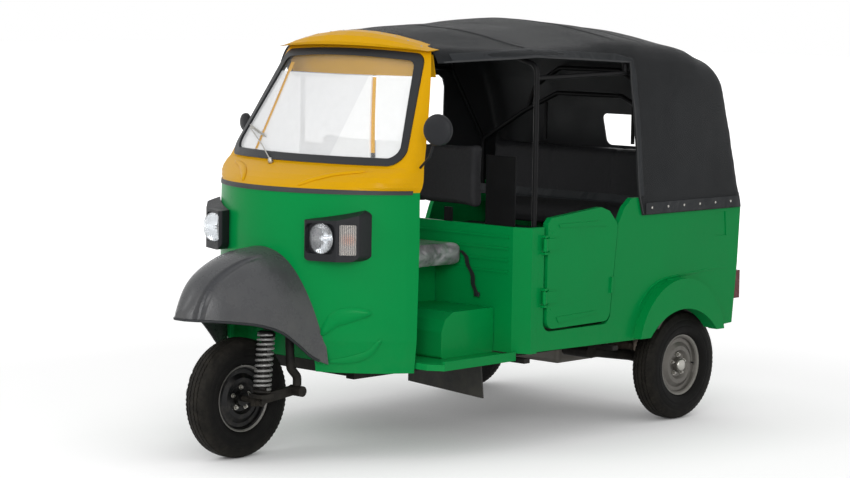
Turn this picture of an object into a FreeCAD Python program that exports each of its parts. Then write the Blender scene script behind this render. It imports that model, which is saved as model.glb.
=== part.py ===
import FreeCAD, Part
import math
import os
import re
from types import SimpleNamespace

import Sketcher
from FreeCAD import Placement, Vector

# Three-wheeled passenger vehicle with a soft roof.
# Frame: ground at z = 0, front towards -Y, the vehicle's left side towards +X,
# origin on the centre plane, midway between the nose guard and the tail lamps.
# All sizes are millimetres and degrees.

SIZES = [
    ("wheel_base", 2100, "front axle to rear axle"),
    ("front_overhang", 312, "front axle to the tip of the nose guard"),
    ("rear_overhang", 345, "rear axle to the face of the tail lamps"),
    ("tyre_inset", 105, "outside of the side panels to the middle of a rear tyre"),
    ("tyre_radius", 245, "outside radius of every tyre"),
    ("tyre_width", 118, "section width of every tyre"),
    ("rim_radius", 136, "radius of the rim's flange"),
    ("rim_width", 84, "over the rim's flanges"),
    ("hub_bore_radius", 13, "bore of the wheel hub"),
    ("axle_clearance", 0.08, "radial gap of a stub axle in its hub"),
    ("seat_gap", 0.3, "gap where one piece rests on another"),
    ("body_half", 720, "centre plane to the outside of the side panels"),
    ("side_wall", 25, "thickness of the side panels"),
    ("sill_z", 405, "bottom edge of the side panels"),
    ("belt_z", 1090, "joint between lower and upper cab"),
    ("waist_z", 930, "top of the bulkhead"),
    ("quarter_z", 985, "top of the side panels under the roof's hem"),
    ("hem_z", 945, "lower edge of the soft roof"),
    ("cab_wall", 18, "thickness of the cab shell"),
    ("cab_sill_z", 358, "bottom edge of the cab shell"),
    ("cab_half", 580, "centre plane to the side of the cab at the belt"),
    ("nose_back", 135, "front axle to the nose of the cab at the belt"),
    ("nose_radius", 630, "plan radius of the cab's nose"),
    ("cab_corner_radius", 300, "plan radius of the cab's corners at the belt"),
    ("screen_base_z", 1188, "foot of the windscreen"),
    ("screen_base_back", 307, "front axle to the foot of the windscreen"),
    ("screen_base_half", 550, "half width of the cab at the windscreen's foot"),
    ("cab_top_z", 1700, "top edge of the windscreen frame"),
    ("cab_top_back", 642, "front axle to the top of the windscreen frame"),
    ("cab_top_half", 431, "half width of the cab at the top"),
    ("doorway_low_back", 477, "front axle to the cab's rear edge at the belt"),
    ("doorway_top_back", 700, "front axle to the cab's rear edge at the top"),
    ("screen_foot_half", 511, "half width of the windscreen hole, bottom"),
    ("screen_head_half", 402, "half width of the windscreen hole, top"),
    ("screen_foot_z", 1194, "bottom of the windscreen hole"),
    ("screen_head_z", 1641, "top of the windscreen hole at its sides"),
    ("screen_bow", 16, "rise of the windscreen hole's top edge"),
    ("screen_corner", 55, "corner radius of the windscreen hole"),
    ("seal_width", 30, "visible width of the rubber seal"),
    ("glass_thickness", 5, "windscreen glass"),
    ("bulkhead_ahead", 1145, "front face of the bulkhead to the rear axle"),
    ("bulkhead_wall", 20, "thickness of the bulkhead"),
    ("door_front_ahead", 1025, "front edge of the door to the rear axle"),
    ("door_thickness", 28, "thickness of the passenger door"),
    ("door_proud", 9, "how far the door stands out of the side panel"),
    ("door_gap", 13, "gap round the door"),
    ("hinge_radius", 9, "door hinge knuckle"),
    ("hinge_out", 16, "door hinge axis to the side panel's face"),
    ("pin_radius", 4, "door hinge pin"),
    ("pin_clearance", 0.08, "radial gap of a hinge pin in its knuckle"),
    ("lid_knuckle_radius", 5, "engine lid hinge knuckle"),
    ("lid_pin_radius", 2.5, "engine lid hinge pin"),
    ("arch_radius", 318, "wheel arch in the side panels"),
    ("arch_centre_z", 200, "height of the arch's centre"),
    ("arch_ahead", 122, "arch centre to the rear axle"),
    ("flare_radius", 310, "outside radius of the wheel-arch flare"),
    ("flare_centre_z", 343, "height of the flare's centre"),
    ("flare_ahead", 128, "flare centre to the rear axle"),
    ("flare_out", 45, "how far the flare stands out"),
    ("floor_top_z", 400, "top of the driver's floor"),
    ("floor_thickness", 25, "floor pan with its pressed ribs"),
    ("passenger_floor_z", 425, "top of the passenger floor"),
    ("rake", 24, "steering axis from vertical"),
    ("trail", 50, "steering axis meets the ground ahead of the front axle"),
    ("stem_radius", 20, "steering stem"),
    ("stem_clearance", 0.08, "radial gap of the stem in its head tube"),
    ("head_radius", 30, "outside of the steering head tube"),
    ("fork_offset", 145, "middle of the fork arm from the centre plane"),
    ("link_length", 200, "front axle to the pivot of the suspension link"),
    ("pivot_z", 268, "height of the suspension link's pivot"),
    ("jack_y", 200, "jacking pads behind the origin"),
    ("jack_pad", 4, "thickness of the jacking pads"),
    ("roof_crown_z", 1785, "highest point of the soft roof"),
    ("roof_wall", 8, "soft roof with its lining"),
    ("roof_half", 729, "centre plane to the outside of the soft roof"),
    ("roof_front_back", 679, "front axle to the soft roof's front edge"),
    ("opening_head_z", 1630, "top of the left doorway under the soft roof"),
    ("tube_radius", 11, "tubes of the roof frame"),
    ("cushion_thickness", 95, "driver's and passengers' seat cushions"),
    ("rail_width", 45, "chassis rails"),
    ("rail_height", 60, "chassis rails"),
    ("rail_spread", 560, "between the middles of the chassis rails"),
]

FRONT_AXLE = "((front_overhang - wheel_base - rear_overhang) / 2)"
REAR_AXLE = "((front_overhang + wheel_base - rear_overhang) / 2)"

doc = FreeCAD.newDocument("AutoRickshaw")
sheet = doc.addObject("Spreadsheet::Sheet", "Sizes")
for row, (alias, amount, meaning) in enumerate(SIZES, start=1):
    sheet.set("A%d" % row, str(amount))
    sheet.setAlias("A%d" % row, alias)
    sheet.set("B%d" % row, meaning)
doc.recompute()

ALIASES = {alias for alias, amount, meaning in SIZES}
size = SimpleNamespace(**{alias: float(sheet.get(alias)) for alias in ALIASES})
PARTS = []


def formula(text):
    """The expression with every cell named in full."""
    def full_name(match):
        word = match.group(0)
        return "Sizes." + word if word in ALIASES else word
    return re.sub(r"[a-z_][a-z0-9_]*", full_name, str(text))


def number(text):
    """The number that an expression of cells stands for."""
    result = sheet.evalExpression(formula(text))
    return float(getattr(result, "Value", result))


def bind(target, path, text):
    """Tie one property to an expression of cells."""
    target.setExpression(path, formula(text))


def keep(target, label):
    """Enter a finished piece in the list of sub-parts."""
    target.Label = label
    PARTS.append(target)
    return target


def place(target, x="0", y="0", z="0"):
    """Tie a piece's place to the cells."""
    bind(target, "Placement.Base.x", x)
    bind(target, "Placement.Base.y", y)
    bind(target, "Placement.Base.z", z)


def feature(label, shape):
    """A piece whose shape is worked out in code from the cells."""
    target = doc.addObject("Part::Feature", label)
    target.Shape = shape
    target.Placement = Placement()
    return keep(target, label)


front_y = number(FRONT_AXLE)
rear_y = number(REAR_AXLE)


# Helpers for sketched pieces

def new_body(label):
    """An empty body for one sub-part."""
    return keep(doc.addObject("PartDesign::Body", label), label)


def outline(body, plane, corners, lift="0"):
    """A closed outline of straight runs, each corner tied to the cells."""
    sketch = body.newObject("Sketcher::SketchObject", body.Label + "_outline")
    base = [item for item in body.Origin.OriginFeatures if item.Role == plane][0]
    sketch.AttachmentSupport = (base, [""])
    sketch.MapMode = "FlatFace"
    bind(sketch, "AttachmentOffset.Base.z", lift)
    points = [Vector(number(across), number(up), 0) for across, up in corners]
    count = len(points)
    for index in range(count):
        sketch.addGeometry(Part.LineSegment(points[index], points[(index + 1) % count]), False)
    for index in range(count):
        sketch.addConstraint(Sketcher.Constraint("Coincident", index, 2, (index + 1) % count, 1))
    for index, (across, up) in enumerate(corners):
        for kind, text, amount in (("DistanceX", across, points[index].x), ("DistanceY", up, points[index].y)):
            tie = sketch.addConstraint(Sketcher.Constraint(kind, -1, 1, index, 1, amount))
            bind(sketch, "Constraints[%d]" % tie, text)
    return sketch


def circle_outline(body, plane, across, up, radius, lift="0"):
    """A circle tied to the cells."""
    sketch = body.newObject("Sketcher::SketchObject", body.Label + "_circle")
    base = [item for item in body.Origin.OriginFeatures if item.Role == plane][0]
    sketch.AttachmentSupport = (base, [""])
    sketch.MapMode = "FlatFace"
    bind(sketch, "AttachmentOffset.Base.z", lift)
    centre = Vector(number(across), number(up), 0)
    sketch.addGeometry(Part.Circle(centre, Vector(0, 0, 1), number(radius)), False)
    for kind, text, amount in (("DistanceX", across, centre.x), ("DistanceY", up, centre.y)):
        tie = sketch.addConstraint(Sketcher.Constraint(kind, -1, 1, 0, 3, amount))
        bind(sketch, "Constraints[%d]" % tie, text)
    tie = sketch.addConstraint(Sketcher.Constraint("Radius", 0, number(radius)))
    bind(sketch, "Constraints[%d]" % tie, radius)
    return sketch


def pad(body, sketch, length):
    """Thickness given to an outline, away from its plane."""
    grown = body.newObject("PartDesign::Pad", body.Label + "_pad")
    grown.Profile = sketch
    bind(grown, "Length", length)
    doc.recompute()
    return grown


def pocket(body, sketch, length, backwards=False):
    """A cut through a sketched piece, tested by its volume."""
    before = body.Shape.Volume
    cut = body.newObject("PartDesign::Pocket", body.Label + "_pocket")
    cut.Profile = sketch
    cut.Reversed = backwards
    bind(cut, "Length", length)
    doc.recompute()
    if body.Shape.Volume >= before:
        raise RuntimeError(body.Label + ": the pocket cuts nothing")
    return cut


def round_corners(body, last, spots, radius, along):
    """Fillet the edges that stand at the given spots, along one axis."""
    names = []
    for index, edge in enumerate(last.Shape.Edges, start=1):
        first, other = edge.Vertexes[0].Point, edge.Vertexes[-1].Point
        run = other - first
        if len(edge.Vertexes) != 2 or run.Length < 1 or abs(abs(run.normalize().dot(along)) - 1) > 1e-6:
            continue
        for spot in spots:
            offset = first - spot
            offset = offset - along * offset.dot(along)
            if offset.Length < 0.05:
                names.append("Edge%d" % index)
    fillet = body.newObject("PartDesign::Fillet", body.Label + "_fillet")
    fillet.Base = (last, names)
    bind(fillet, "Radius", radius)
    doc.recompute()
    return fillet


def revolve(body, sketch):
    """A full turn about the sketch's horizontal axis."""
    turned = body.newObject("PartDesign::Revolution", body.Label + "_turned")
    turned.Profile = sketch
    turned.ReferenceAxis = (sketch, ["H_Axis"])
    turned.Angle = 360
    doc.recompute()
    return turned


# Helpers for pieces shaped in code

def polygon(points):
    """Closed face through the given points."""
    return Part.Face(Part.makePolygon(list(points) + [points[0]]))


def slab_x(points, x_low, x_high):
    """Side-view outline (y, z) given thickness along X."""
    return polygon([Vector(x_low, y, z) for y, z in points]).extrude(Vector(x_high - x_low, 0, 0))


def slab_y(points, y_low, y_high):
    """Front-view outline (x, z) given thickness along Y."""
    return polygon([Vector(x, y_low, z) for x, z in points]).extrude(Vector(0, y_high - y_low, 0))


def slab_z(points, z_low, z_high):
    """Plan outline (x, y) given thickness along Z."""
    return polygon([Vector(x, y, z_low) for x, y in points]).extrude(Vector(0, 0, z_high - z_low))


def block(x_low, x_high, y_low, y_high, z_low, z_high):
    """Box between two corners."""
    corner = Vector(x_low, y_low, z_low)
    return Part.makeBox(x_high - x_low, y_high - y_low, z_high - z_low, corner)


def rounded(shape, radius, along=None):
    """Fillet every straight edge, or only those along one axis."""
    edges = []
    for edge in shape.Edges:
        run = edge.Vertexes[-1].Point - edge.Vertexes[0].Point
        if run.Length < 1e-6:
            continue
        if along is None or abs(abs(run.normalize().dot(along)) - 1) < 1e-6:
            edges.append(edge)
    return shape.makeFillet(radius, edges)


def rod(start, end, radius):
    """Round bar between two points."""
    return Part.makeCylinder(radius, (end - start).Length, start, end - start)


def pipe_run(points, radius, bend):
    """Bent tube, solid, through the given corner points."""
    edges = []
    last = points[0]
    for before, corner, after in zip(points, points[1:], points[2:]):
        inward = (before - corner).normalize()
        outward = (after - corner).normalize()
        half_turn = inward.getAngle(outward) / 2
        back = bend / math.tan(half_turn)
        bisector = (inward + outward).normalize()
        middle = corner + bisector * (bend / math.sin(half_turn) - bend)
        start, end = corner + inward * back, corner + outward * back
        edges.append(Part.LineSegment(last, start).toShape())
        edges.append(Part.Arc(start, middle, end).toShape())
        last = end
    edges.append(Part.LineSegment(last, points[-1]).toShape())
    spine = Part.Wire(edges)
    direction = points[1] - points[0]
    ring = Part.Wire(Part.makeCircle(radius, points[0], direction))
    return spine.makePipeShell([ring], True, True)


def mirrored(shape):
    """The same shape on the other side of the centre plane."""
    return shape.mirror(Vector(0, 0, 0), Vector(1, 0, 0))


def pair(shape):
    """A left piece and its right twin."""
    return Part.makeCompound([shape, mirrored(shape)])


# Wheels

def tyre(label, x, y):
    """Tyre with a rounded crown, bulged walls and beads on the rim."""
    body = new_body(label)
    half = "tyre_width / 2"
    profile = [
        ("-rim_width / 2 + 6", "rim_radius + seat_gap"),
        ("-" + half, "rim_radius + 34"),
        ("-" + half, "tyre_radius - 45"),
        ("-" + half + " + 12", "tyre_radius - 10"),
        ("-26", "tyre_radius"),
        ("26", "tyre_radius"),
        (half + " - 12", "tyre_radius - 10"),
        (half, "tyre_radius - 45"),
        (half, "rim_radius + 34"),
        ("rim_width / 2 - 6", "rim_radius + seat_gap"),
    ]
    revolve(body, outline(body, "XY_Plane", profile))
    place(body, x, y, "tyre_radius")


def rim(label, x, y, outside):
    """Pressed steel wheel: flanged barrel, dished disc and hub."""
    body = new_body(label)
    half = "rim_width / 2"
    s = "" if outside > 0 else "-"
    m = "-" if outside > 0 else ""
    profile = [
        (m + half, "rim_radius - 3"),
        (m + half, "rim_radius"),
        (m + "(" + half + " - 5)", "rim_radius"),
        (m + "(" + half + " - 9)", "rim_radius - 9"),
        (m + "(" + half + " - 26)", "rim_radius - 12"),
        (m + "8", "rim_radius - 24"),
        (s + "12", "rim_radius - 24"),
        (s + "(" + half + " - 20)", "rim_radius - 12"),
        (s + "(" + half + " - 9)", "rim_radius - 9"),
        (s + "(" + half + " - 5)", "rim_radius"),
        (s + half, "rim_radius"),
        (s + half, "rim_radius - 3"),
        (s + "(" + half + " - 8)", "rim_radius - 14"),
        (s + "24", "rim_radius - 18"),
        (s + "24", "rim_radius - 34"),
        (s + "34", "rim_radius - 52"),
        (s + "34", "rim_radius - 70"),
        (s + "22", "rim_radius - 82"),
        (s + "22", "hub_bore_radius + 22"),
        (s + "40", "hub_bore_radius + 18"),
        (s + "40", "hub_bore_radius"),
        (m + "34", "hub_bore_radius"),
        (m + "34", "hub_bore_radius + 20"),
        (s + "12", "hub_bore_radius + 24"),
        (s + "12", "rim_radius - 80"),
        (s + "24", "rim_radius - 68"),
        (s + "24", "rim_radius - 54"),
        (s + "14", "rim_radius - 36"),
        (s + "14", "rim_radius - 29"),
        (m + "12", "rim_radius - 29"),
        (m + "(" + half + " - 24)", "rim_radius - 17"),
        (m + "(" + half + " - 7)", "rim_radius - 14"),
    ]
    revolve(body, outline(body, "XY_Plane", profile))
    place(body, x, y, "tyre_radius")


tyre("front_tyre", "0", FRONT_AXLE)
rim("front_rim", "0", FRONT_AXLE, 1)
for side, sign in (("left", 1), ("right", -1)):
    wheel_x = "(body_half - tyre_inset)" if sign > 0 else "-(body_half - tyre_inset)"
    tyre("rear_tyre_" + side, wheel_x, REAR_AXLE)
    rim("rear_rim_" + side, wheel_x, REAR_AXLE, sign)


# Cab shell: a plan outline that changes with height

def plan_wire(section, inset, back):
    """Cab outline at one height, drawn in by inset: sides, corners and nose."""
    height, nose, half, nose_radius, corner_radius = section
    nose, half = nose + inset, half - inset
    big, small = nose_radius - inset, corner_radius - inset
    centre_x = half - small
    centre_y = nose + big - math.sqrt((big - small) ** 2 - centre_x ** 2)
    reach = big / (big - small)
    join_x = centre_x * reach
    join_y = nose + big + (centre_y - nose - big) * reach
    turn = math.atan2(join_y - centre_y, join_x - centre_x) / 2
    middle_x = centre_x + small * math.cos(turn)
    middle_y = centre_y + small * math.sin(turn)

    def at(x, y):
        return Vector(x, y, height)

    return Part.Wire([
        Part.LineSegment(at(half, back), at(half, centre_y)).toShape(),
        Part.Arc(at(half, centre_y), at(middle_x, middle_y), at(join_x, join_y)).toShape(),
        Part.Arc(at(join_x, join_y), at(0, nose), at(-join_x, join_y)).toShape(),
        Part.Arc(at(-join_x, join_y), at(-middle_x, middle_y), at(-half, centre_y)).toShape(),
        Part.LineSegment(at(-half, centre_y), at(-half, back)).toShape(),
        Part.LineSegment(at(-half, back), at(half, back)).toShape(),
    ])


CAB_BACK = front_y + 900
nose_y = front_y + size.nose_back
screen_base_y = front_y + size.screen_base_back
screen_base_radius = 1130
screen_base_corner = 90
cab_top_y = front_y + size.cab_top_back
lower_sections = [
    (size.cab_sill_z, nose_y + 22, size.cab_half - 4, size.nose_radius, size.cab_corner_radius),
    (size.cab_sill_z + 130, nose_y + 2, size.cab_half, size.nose_radius, size.cab_corner_radius),
    (size.belt_z - 200, nose_y - 7, size.cab_half, size.nose_radius, size.cab_corner_radius),
    (size.belt_z, nose_y, size.cab_half - 4, size.nose_radius, size.cab_corner_radius),
]
scuttle_steps = [0, 0.13, 0.29, 0.49, 0.73, 1]
upper_sections = []
for index, step in enumerate(scuttle_steps):
    share = index / (len(scuttle_steps) - 1)
    upper_sections.append((
        size.belt_z + size.seat_gap + share * (size.screen_base_z - size.belt_z - size.seat_gap),
        nose_y + step * (screen_base_y - nose_y),
        size.cab_half - 4 + share * (size.screen_base_half - size.cab_half + 4),
        size.nose_radius + step * (screen_base_radius - size.nose_radius),
        size.cab_corner_radius + share * (screen_base_corner - size.cab_corner_radius),
    ))
screen_sections = [
    upper_sections[-1],
    (size.cab_top_z, cab_top_y, size.cab_top_half, 1400, 66),
]


def cab_solid(sections, inset, back=CAB_BACK):
    """Solid inside the cab outline drawn in by inset."""
    return Part.makeLoft([plan_wire(section, inset, back) for section in sections], True, True)


def cab_skin(sections, outside, inside):
    """Wall between two insets, open to the rear."""
    return cab_solid(sections, outside).cut(cab_solid(sections, inside, CAB_BACK + 50))


doorway_low_y = front_y + size.doorway_low_back
doorway_top_y = front_y + size.doorway_top_back
cab_keep = slab_x([
    (front_y - 600, 0),
    (doorway_low_y - 10, 0),
    (doorway_low_y, size.belt_z),
    (doorway_low_y + 28, size.screen_base_z),
    (doorway_top_y, size.cab_top_z),
    (doorway_top_y, size.cab_top_z + 50),
    (front_y - 600, size.cab_top_z + 50),
], -900, 900)

# Lower cab: its nose has an opening for the front wheel, hidden by the guard
wheel_gate = slab_y([
    (-252, 0), (252, 0), (244, 450), (196, 640), (110, 722), (-110, 722), (-196, 640), (-244, 450),
], front_y - 200, front_y + 330)
cab_lower = cab_skin(lower_sections, 0, size.cab_wall).common(cab_keep).cut(wheel_gate)
feature("cab_lower", cab_lower)

# Windscreen frame, its hole, rubber seal and glass
def screen_prism(shrink):
    """Windscreen hole seen from the front, drawn in by shrink, along Y."""
    foot_z = size.screen_foot_z + shrink
    foot = size.screen_foot_half - shrink
    head = size.screen_head_half - shrink
    head_z = size.screen_head_z - shrink
    corner = size.screen_corner - shrink * 0.5
    y_low = front_y - 100
    points = [Vector(x, y_low, z) for x, z in (
        (-foot, foot_z), (foot, foot_z), (head, head_z), (-head, head_z))]
    crown = Vector(0, y_low, head_z + size.screen_bow)
    wire = Part.Wire([
        Part.LineSegment(points[0], points[1]).toShape(),
        Part.LineSegment(points[1], points[2]).toShape(),
        Part.Arc(points[2], crown, points[3]).toShape(),
        Part.LineSegment(points[3], points[0]).toShape(),
    ])
    prism = Part.Face(wire).extrude(Vector(0, 800, 0))
    return rounded(prism, corner, Vector(0, 1, 0))


def arched(crown, fall, half, low=1000):
    """Room under an arch across the vehicle, the arch falling away to both sides."""
    arch = Part.Arc(Vector(-half, 0, crown - fall), Vector(0, 0, crown), Vector(half, 0, crown - fall)).toShape()
    foot = crown - fall
    sides = Part.makePolygon([Vector(half, 0, foot), Vector(900, 0, foot), Vector(900, 0, low), Vector(-900, 0, low),
                              Vector(-900, 0, foot), Vector(-half, 0, foot)])
    face = Part.Face(Part.Wire([arch] + sides.Edges))
    face.translate(Vector(0, front_y - 500, 0))
    return face.extrude(Vector(0, 2000, 0))


header_fall, header_half = 45, 450
header = arched(size.cab_top_z, header_fall, header_half)
cab_upper = cab_skin(upper_sections, 0, size.cab_wall).fuse(cab_skin(screen_sections, 0, size.cab_wall))
cab_upper = cab_upper.removeSplitter().common(cab_keep).cut(screen_prism(0)).common(header)
feature("cab_upper", cab_upper)

seal_ring = screen_prism(size.seat_gap).cut(screen_prism(size.seal_width))
seal = seal_ring.common(cab_skin(screen_sections, -7, size.cab_wall + 3))
feature("windscreen_seal", seal)
glass_depth = 6
glass = screen_prism(size.seal_width + size.seat_gap)
glass = glass.common(cab_skin(screen_sections, glass_depth, glass_depth + size.glass_thickness))
feature("windscreen_glass", glass)


# Yellow cap over the windscreen, arched like the header
VISOR_LIP = [(-64, -30), (-70, -16), (-48, 10), (-14, 26), (34, 32)]
VISOR_UNDER = [(34, 24), (-10, 16), (-22, 2), (-30, -14)]


def visor_section(x, points):
    """Section of the cap at one distance from the centre plane."""
    sag = (x / size.cab_top_half) ** 2
    row = [Vector(x, cab_top_y + y + 66 * sag, size.cab_top_z + z - sag * (18 + 54 * (z + 30) / 62))
           for y, z in points]
    return Part.makePolygon(row + row[:1])


visor_half = size.cab_top_half + 4
visor_steps = [-1, -0.75, -0.5, -0.25, 0, 0.25, 0.5, 0.75, 1]
visor = Part.makeLoft([visor_section(visor_half * step, VISOR_LIP + VISOR_UNDER) for step in visor_steps], True, True)
visor = visor.cut(cab_solid(screen_sections, -size.seat_gap).common(arched(size.cab_top_z + 0.4, header_fall, header_half)))
visor = visor.cut(seal)
visor = max(visor.Solids, key=lambda item: item.Volume)
feature("roof_visor", visor)
grown_lip = [(-66, -32), (-72, -16), (-49, 12), (-14, 28), (36, 34)]
visor_room = Part.makeLoft([visor_section(visor_half * step * 1.01, grown_lip + [(36, -160), (-66, -160)])
                            for step in visor_steps], True, True)


# Nose guard over the front wheel
def guard_section(y, half, rim_z, crown_z, inset):
    """Section across the guard: bell-shaped, closed along its rim."""
    half, crown_z = half - inset, crown_z - inset
    rise = crown_z - rim_z
    shape = [(1, 0), (0.86, 0.44), (0.7, 0.70), (0.44, 0.91), (0, 1)]
    right = [Vector(half * across, y, rim_z + rise * up) for across, up in shape]
    left = [Vector(-point.x, point.y, point.z) for point in reversed(right[:-1])]
    curve = Part.BSplineCurve()
    curve.interpolate(right + left)
    return Part.Wire([curve.toShape(), Part.LineSegment(left[-1], right[0]).toShape()])


guard_rows = [
    (-312, 26, 590, 625),
    (-285, 58, 588, 664),
    (-250, 88, 586, 716),
    (-203, 124, 582, 760),
    (-140, 160, 575, 796),
    (-60, 203, 562, 826),
    (20, 238, 532, 845),
    (90, 262, 478, 853),
    (150, 282, 425, 856),
    (215, 310, 392, 858),
]
guard_wall = 5
guard_outer = Part.makeLoft([guard_section(front_y + y, half, low, high, 0)
                             for y, half, low, high in guard_rows], True, False)
guard_inner = Part.makeLoft([guard_section(front_y + y + guard_wall, half, low - guard_wall, high, guard_wall)
                             for y, half, low, high in guard_rows], True, False)
guard = guard_outer.cut(guard_inner).cut(cab_solid(lower_sections, -size.seat_gap))
guard = max(guard.Solids, key=lambda item: item.Volume)
feature("nose_guard", guard)

# Wheel housing inside the cab, over the rear half of the front wheel
well_half, well_wall, well_top = 262, 9, 735
well_back = front_y + 345
well = rounded(block(-well_half, well_half, front_y, well_back, size.cab_sill_z + 20, well_top),
               60, Vector(0, 0, 1))
well_hollow = rounded(block(-well_half + well_wall, well_half - well_wall, front_y - 100,
                            well_back - well_wall, 0, well_top - well_wall), 52, Vector(0, 0, 1))
well = well.cut(well_hollow)
cab_room = cab_solid([(section[0] - 0.5,) + section[1:] if index == 0 else section
                      for index, section in enumerate(lower_sections)], size.cab_wall + size.seat_gap)
well = well.common(cab_room)

steer_lean = math.radians(size.rake)
steer_axis = Vector(0, math.sin(steer_lean), math.cos(steer_lean))
steer_foot = Vector(0, front_y - size.trail, 0)


def on_axis(height):
    """Point of the steering axis at one height."""
    return steer_foot + steer_axis * (height / math.cos(steer_lean))


well = max(well.Solids, key=lambda item: item.Volume)
head = rod(on_axis(690), on_axis(955), size.head_radius)
well = well.fuse(head).cut(rod(on_axis(600), on_axis(1050), size.stem_radius + size.stem_clearance))
feature("wheel_housing", well.removeSplitter())

# Driver's floor, following the inside of the cab, with a turned-up edge in each doorway
lip_half = 668
bulkhead_y = rear_y - size.bulkhead_ahead
floor_low = size.floor_top_z - size.floor_thickness
floor_plan = [
    (-lip_half, bulkhead_y - size.seat_gap), (-lip_half, doorway_low_y + 40), (-lip_half + 60, doorway_low_y + 2),
    (lip_half - 60, doorway_low_y + 2), (lip_half, doorway_low_y + 40), (lip_half, bulkhead_y - size.seat_gap),
]
floor_main = slab_z(floor_plan, floor_low, size.floor_top_z)
floor_nose = cab_room.common(block(-700, 700, front_y, doorway_low_y + 3, floor_low, size.floor_top_z))
floor = floor_main.fuse(floor_nose)
floor = floor.cut(rounded(block(-well_half - size.seat_gap, well_half + size.seat_gap, front_y,
                                well_back + size.seat_gap, 0, 900), 60, Vector(0, 0, 1)))
for sign in (1, -1):
    lip = block(sign * lip_half if sign < 0 else lip_half - 12, -lip_half + 12 if sign < 0 else lip_half,
                doorway_low_y + 42, bulkhead_y - size.seat_gap, floor_low, size.floor_top_z + 12)
    floor = floor.fuse(lip)
feature("driver_floor", floor.removeSplitter())

# Bulkhead behind the driver, with returns to the side panels and pressed ribs
bulkhead = new_body("bulkhead")
inner_half = "(body_half - 80)"
plan = [
    ("-body_half", "-(bulkhead_ahead - 70)"), ("-body_half", "-(bulkhead_ahead - 30)"),
    ("-" + inner_half, "-bulkhead_ahead"),
    (inner_half, "-bulkhead_ahead"), ("body_half", "-(bulkhead_ahead - 30)"),
    ("body_half", "-(bulkhead_ahead - 70)"), ("body_half - bulkhead_wall", "-(bulkhead_ahead - 70)"),
    ("body_half - bulkhead_wall", "-(bulkhead_ahead - 42)"),
    (inner_half + " - 6", "-(bulkhead_ahead - bulkhead_wall)"),
    ("-" + inner_half + " + 6", "-(bulkhead_ahead - bulkhead_wall)"),
    ("-body_half + bulkhead_wall", "-(bulkhead_ahead - 42)"),
    ("-body_half + bulkhead_wall", "-(bulkhead_ahead - 70)"),
]
pad(bulkhead, outline(bulkhead, "XY_Plane", plan, "sill_z"), "waist_z - sill_z")
for step in range(4):
    rib_z = "waist_z - %d" % (38 + 49 * step)
    rib = [("-body_half + 100", rib_z + " - 10"), ("body_half - 100", rib_z + " - 10"),
           ("body_half - 100", rib_z), ("-body_half + 100", rib_z)]
    pad(bulkhead, outline(bulkhead, "XZ_Plane", rib, "bulkhead_ahead - 1"), "6")
place(bulkhead, "0", REAR_AXLE, "0")

HINGE_X = "body_half + hinge_out"
HINGE_Y = "-(door_front_ahead + 24)"
HINGE_HEIGHTS = ("636", "857")

# Side panels: doorway cut on the left, lower edge of the opening on the right
DOOR = [
    ("-door_front_ahead", "501"), ("-door_front_ahead", "943"), ("-door_front_ahead + 22", "966"),
    ("-door_front_ahead + 349", "995"), ("-door_front_ahead + 405", "976"),
    ("-door_front_ahead + 463", "916"), ("-door_front_ahead + 415", "505"),
]
left_side = [
    ("-bulkhead_ahead + 70 + seat_gap", "sill_z + 6"), ("-arch_ahead", "sill_z - 7"),
    ("rear_overhang - 54", "sill_z + 14"),
    ("rear_overhang - 24", "692"), ("rear_overhang - 9", "hem_z"), ("rear_overhang - 17", "quarter_z"),
    ("-390", "quarter_z"), ("-405", "1022"), ("-459", "1022"), ("-508", "985"),
    ("-door_front_ahead + 463 + door_gap", "918"), ("-door_front_ahead + 415 + door_gap", "490"),
    ("-door_front_ahead - door_gap", "490"), ("-door_front_ahead - door_gap", "waist_z"),
    ("-bulkhead_ahead + 70 + seat_gap", "waist_z"),
]
right_side = left_side[:6] + [
    ("-60", "quarter_z"), ("-85", "1010"), ("-125", "1000"), ("-190", "885"), ("-222", "805"), ("-260", "790"),
    ("-door_front_ahead + 60", "800"), ("-door_front_ahead", "waist_z"),
    ("-bulkhead_ahead + 70 + seat_gap", "waist_z"),
]
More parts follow.
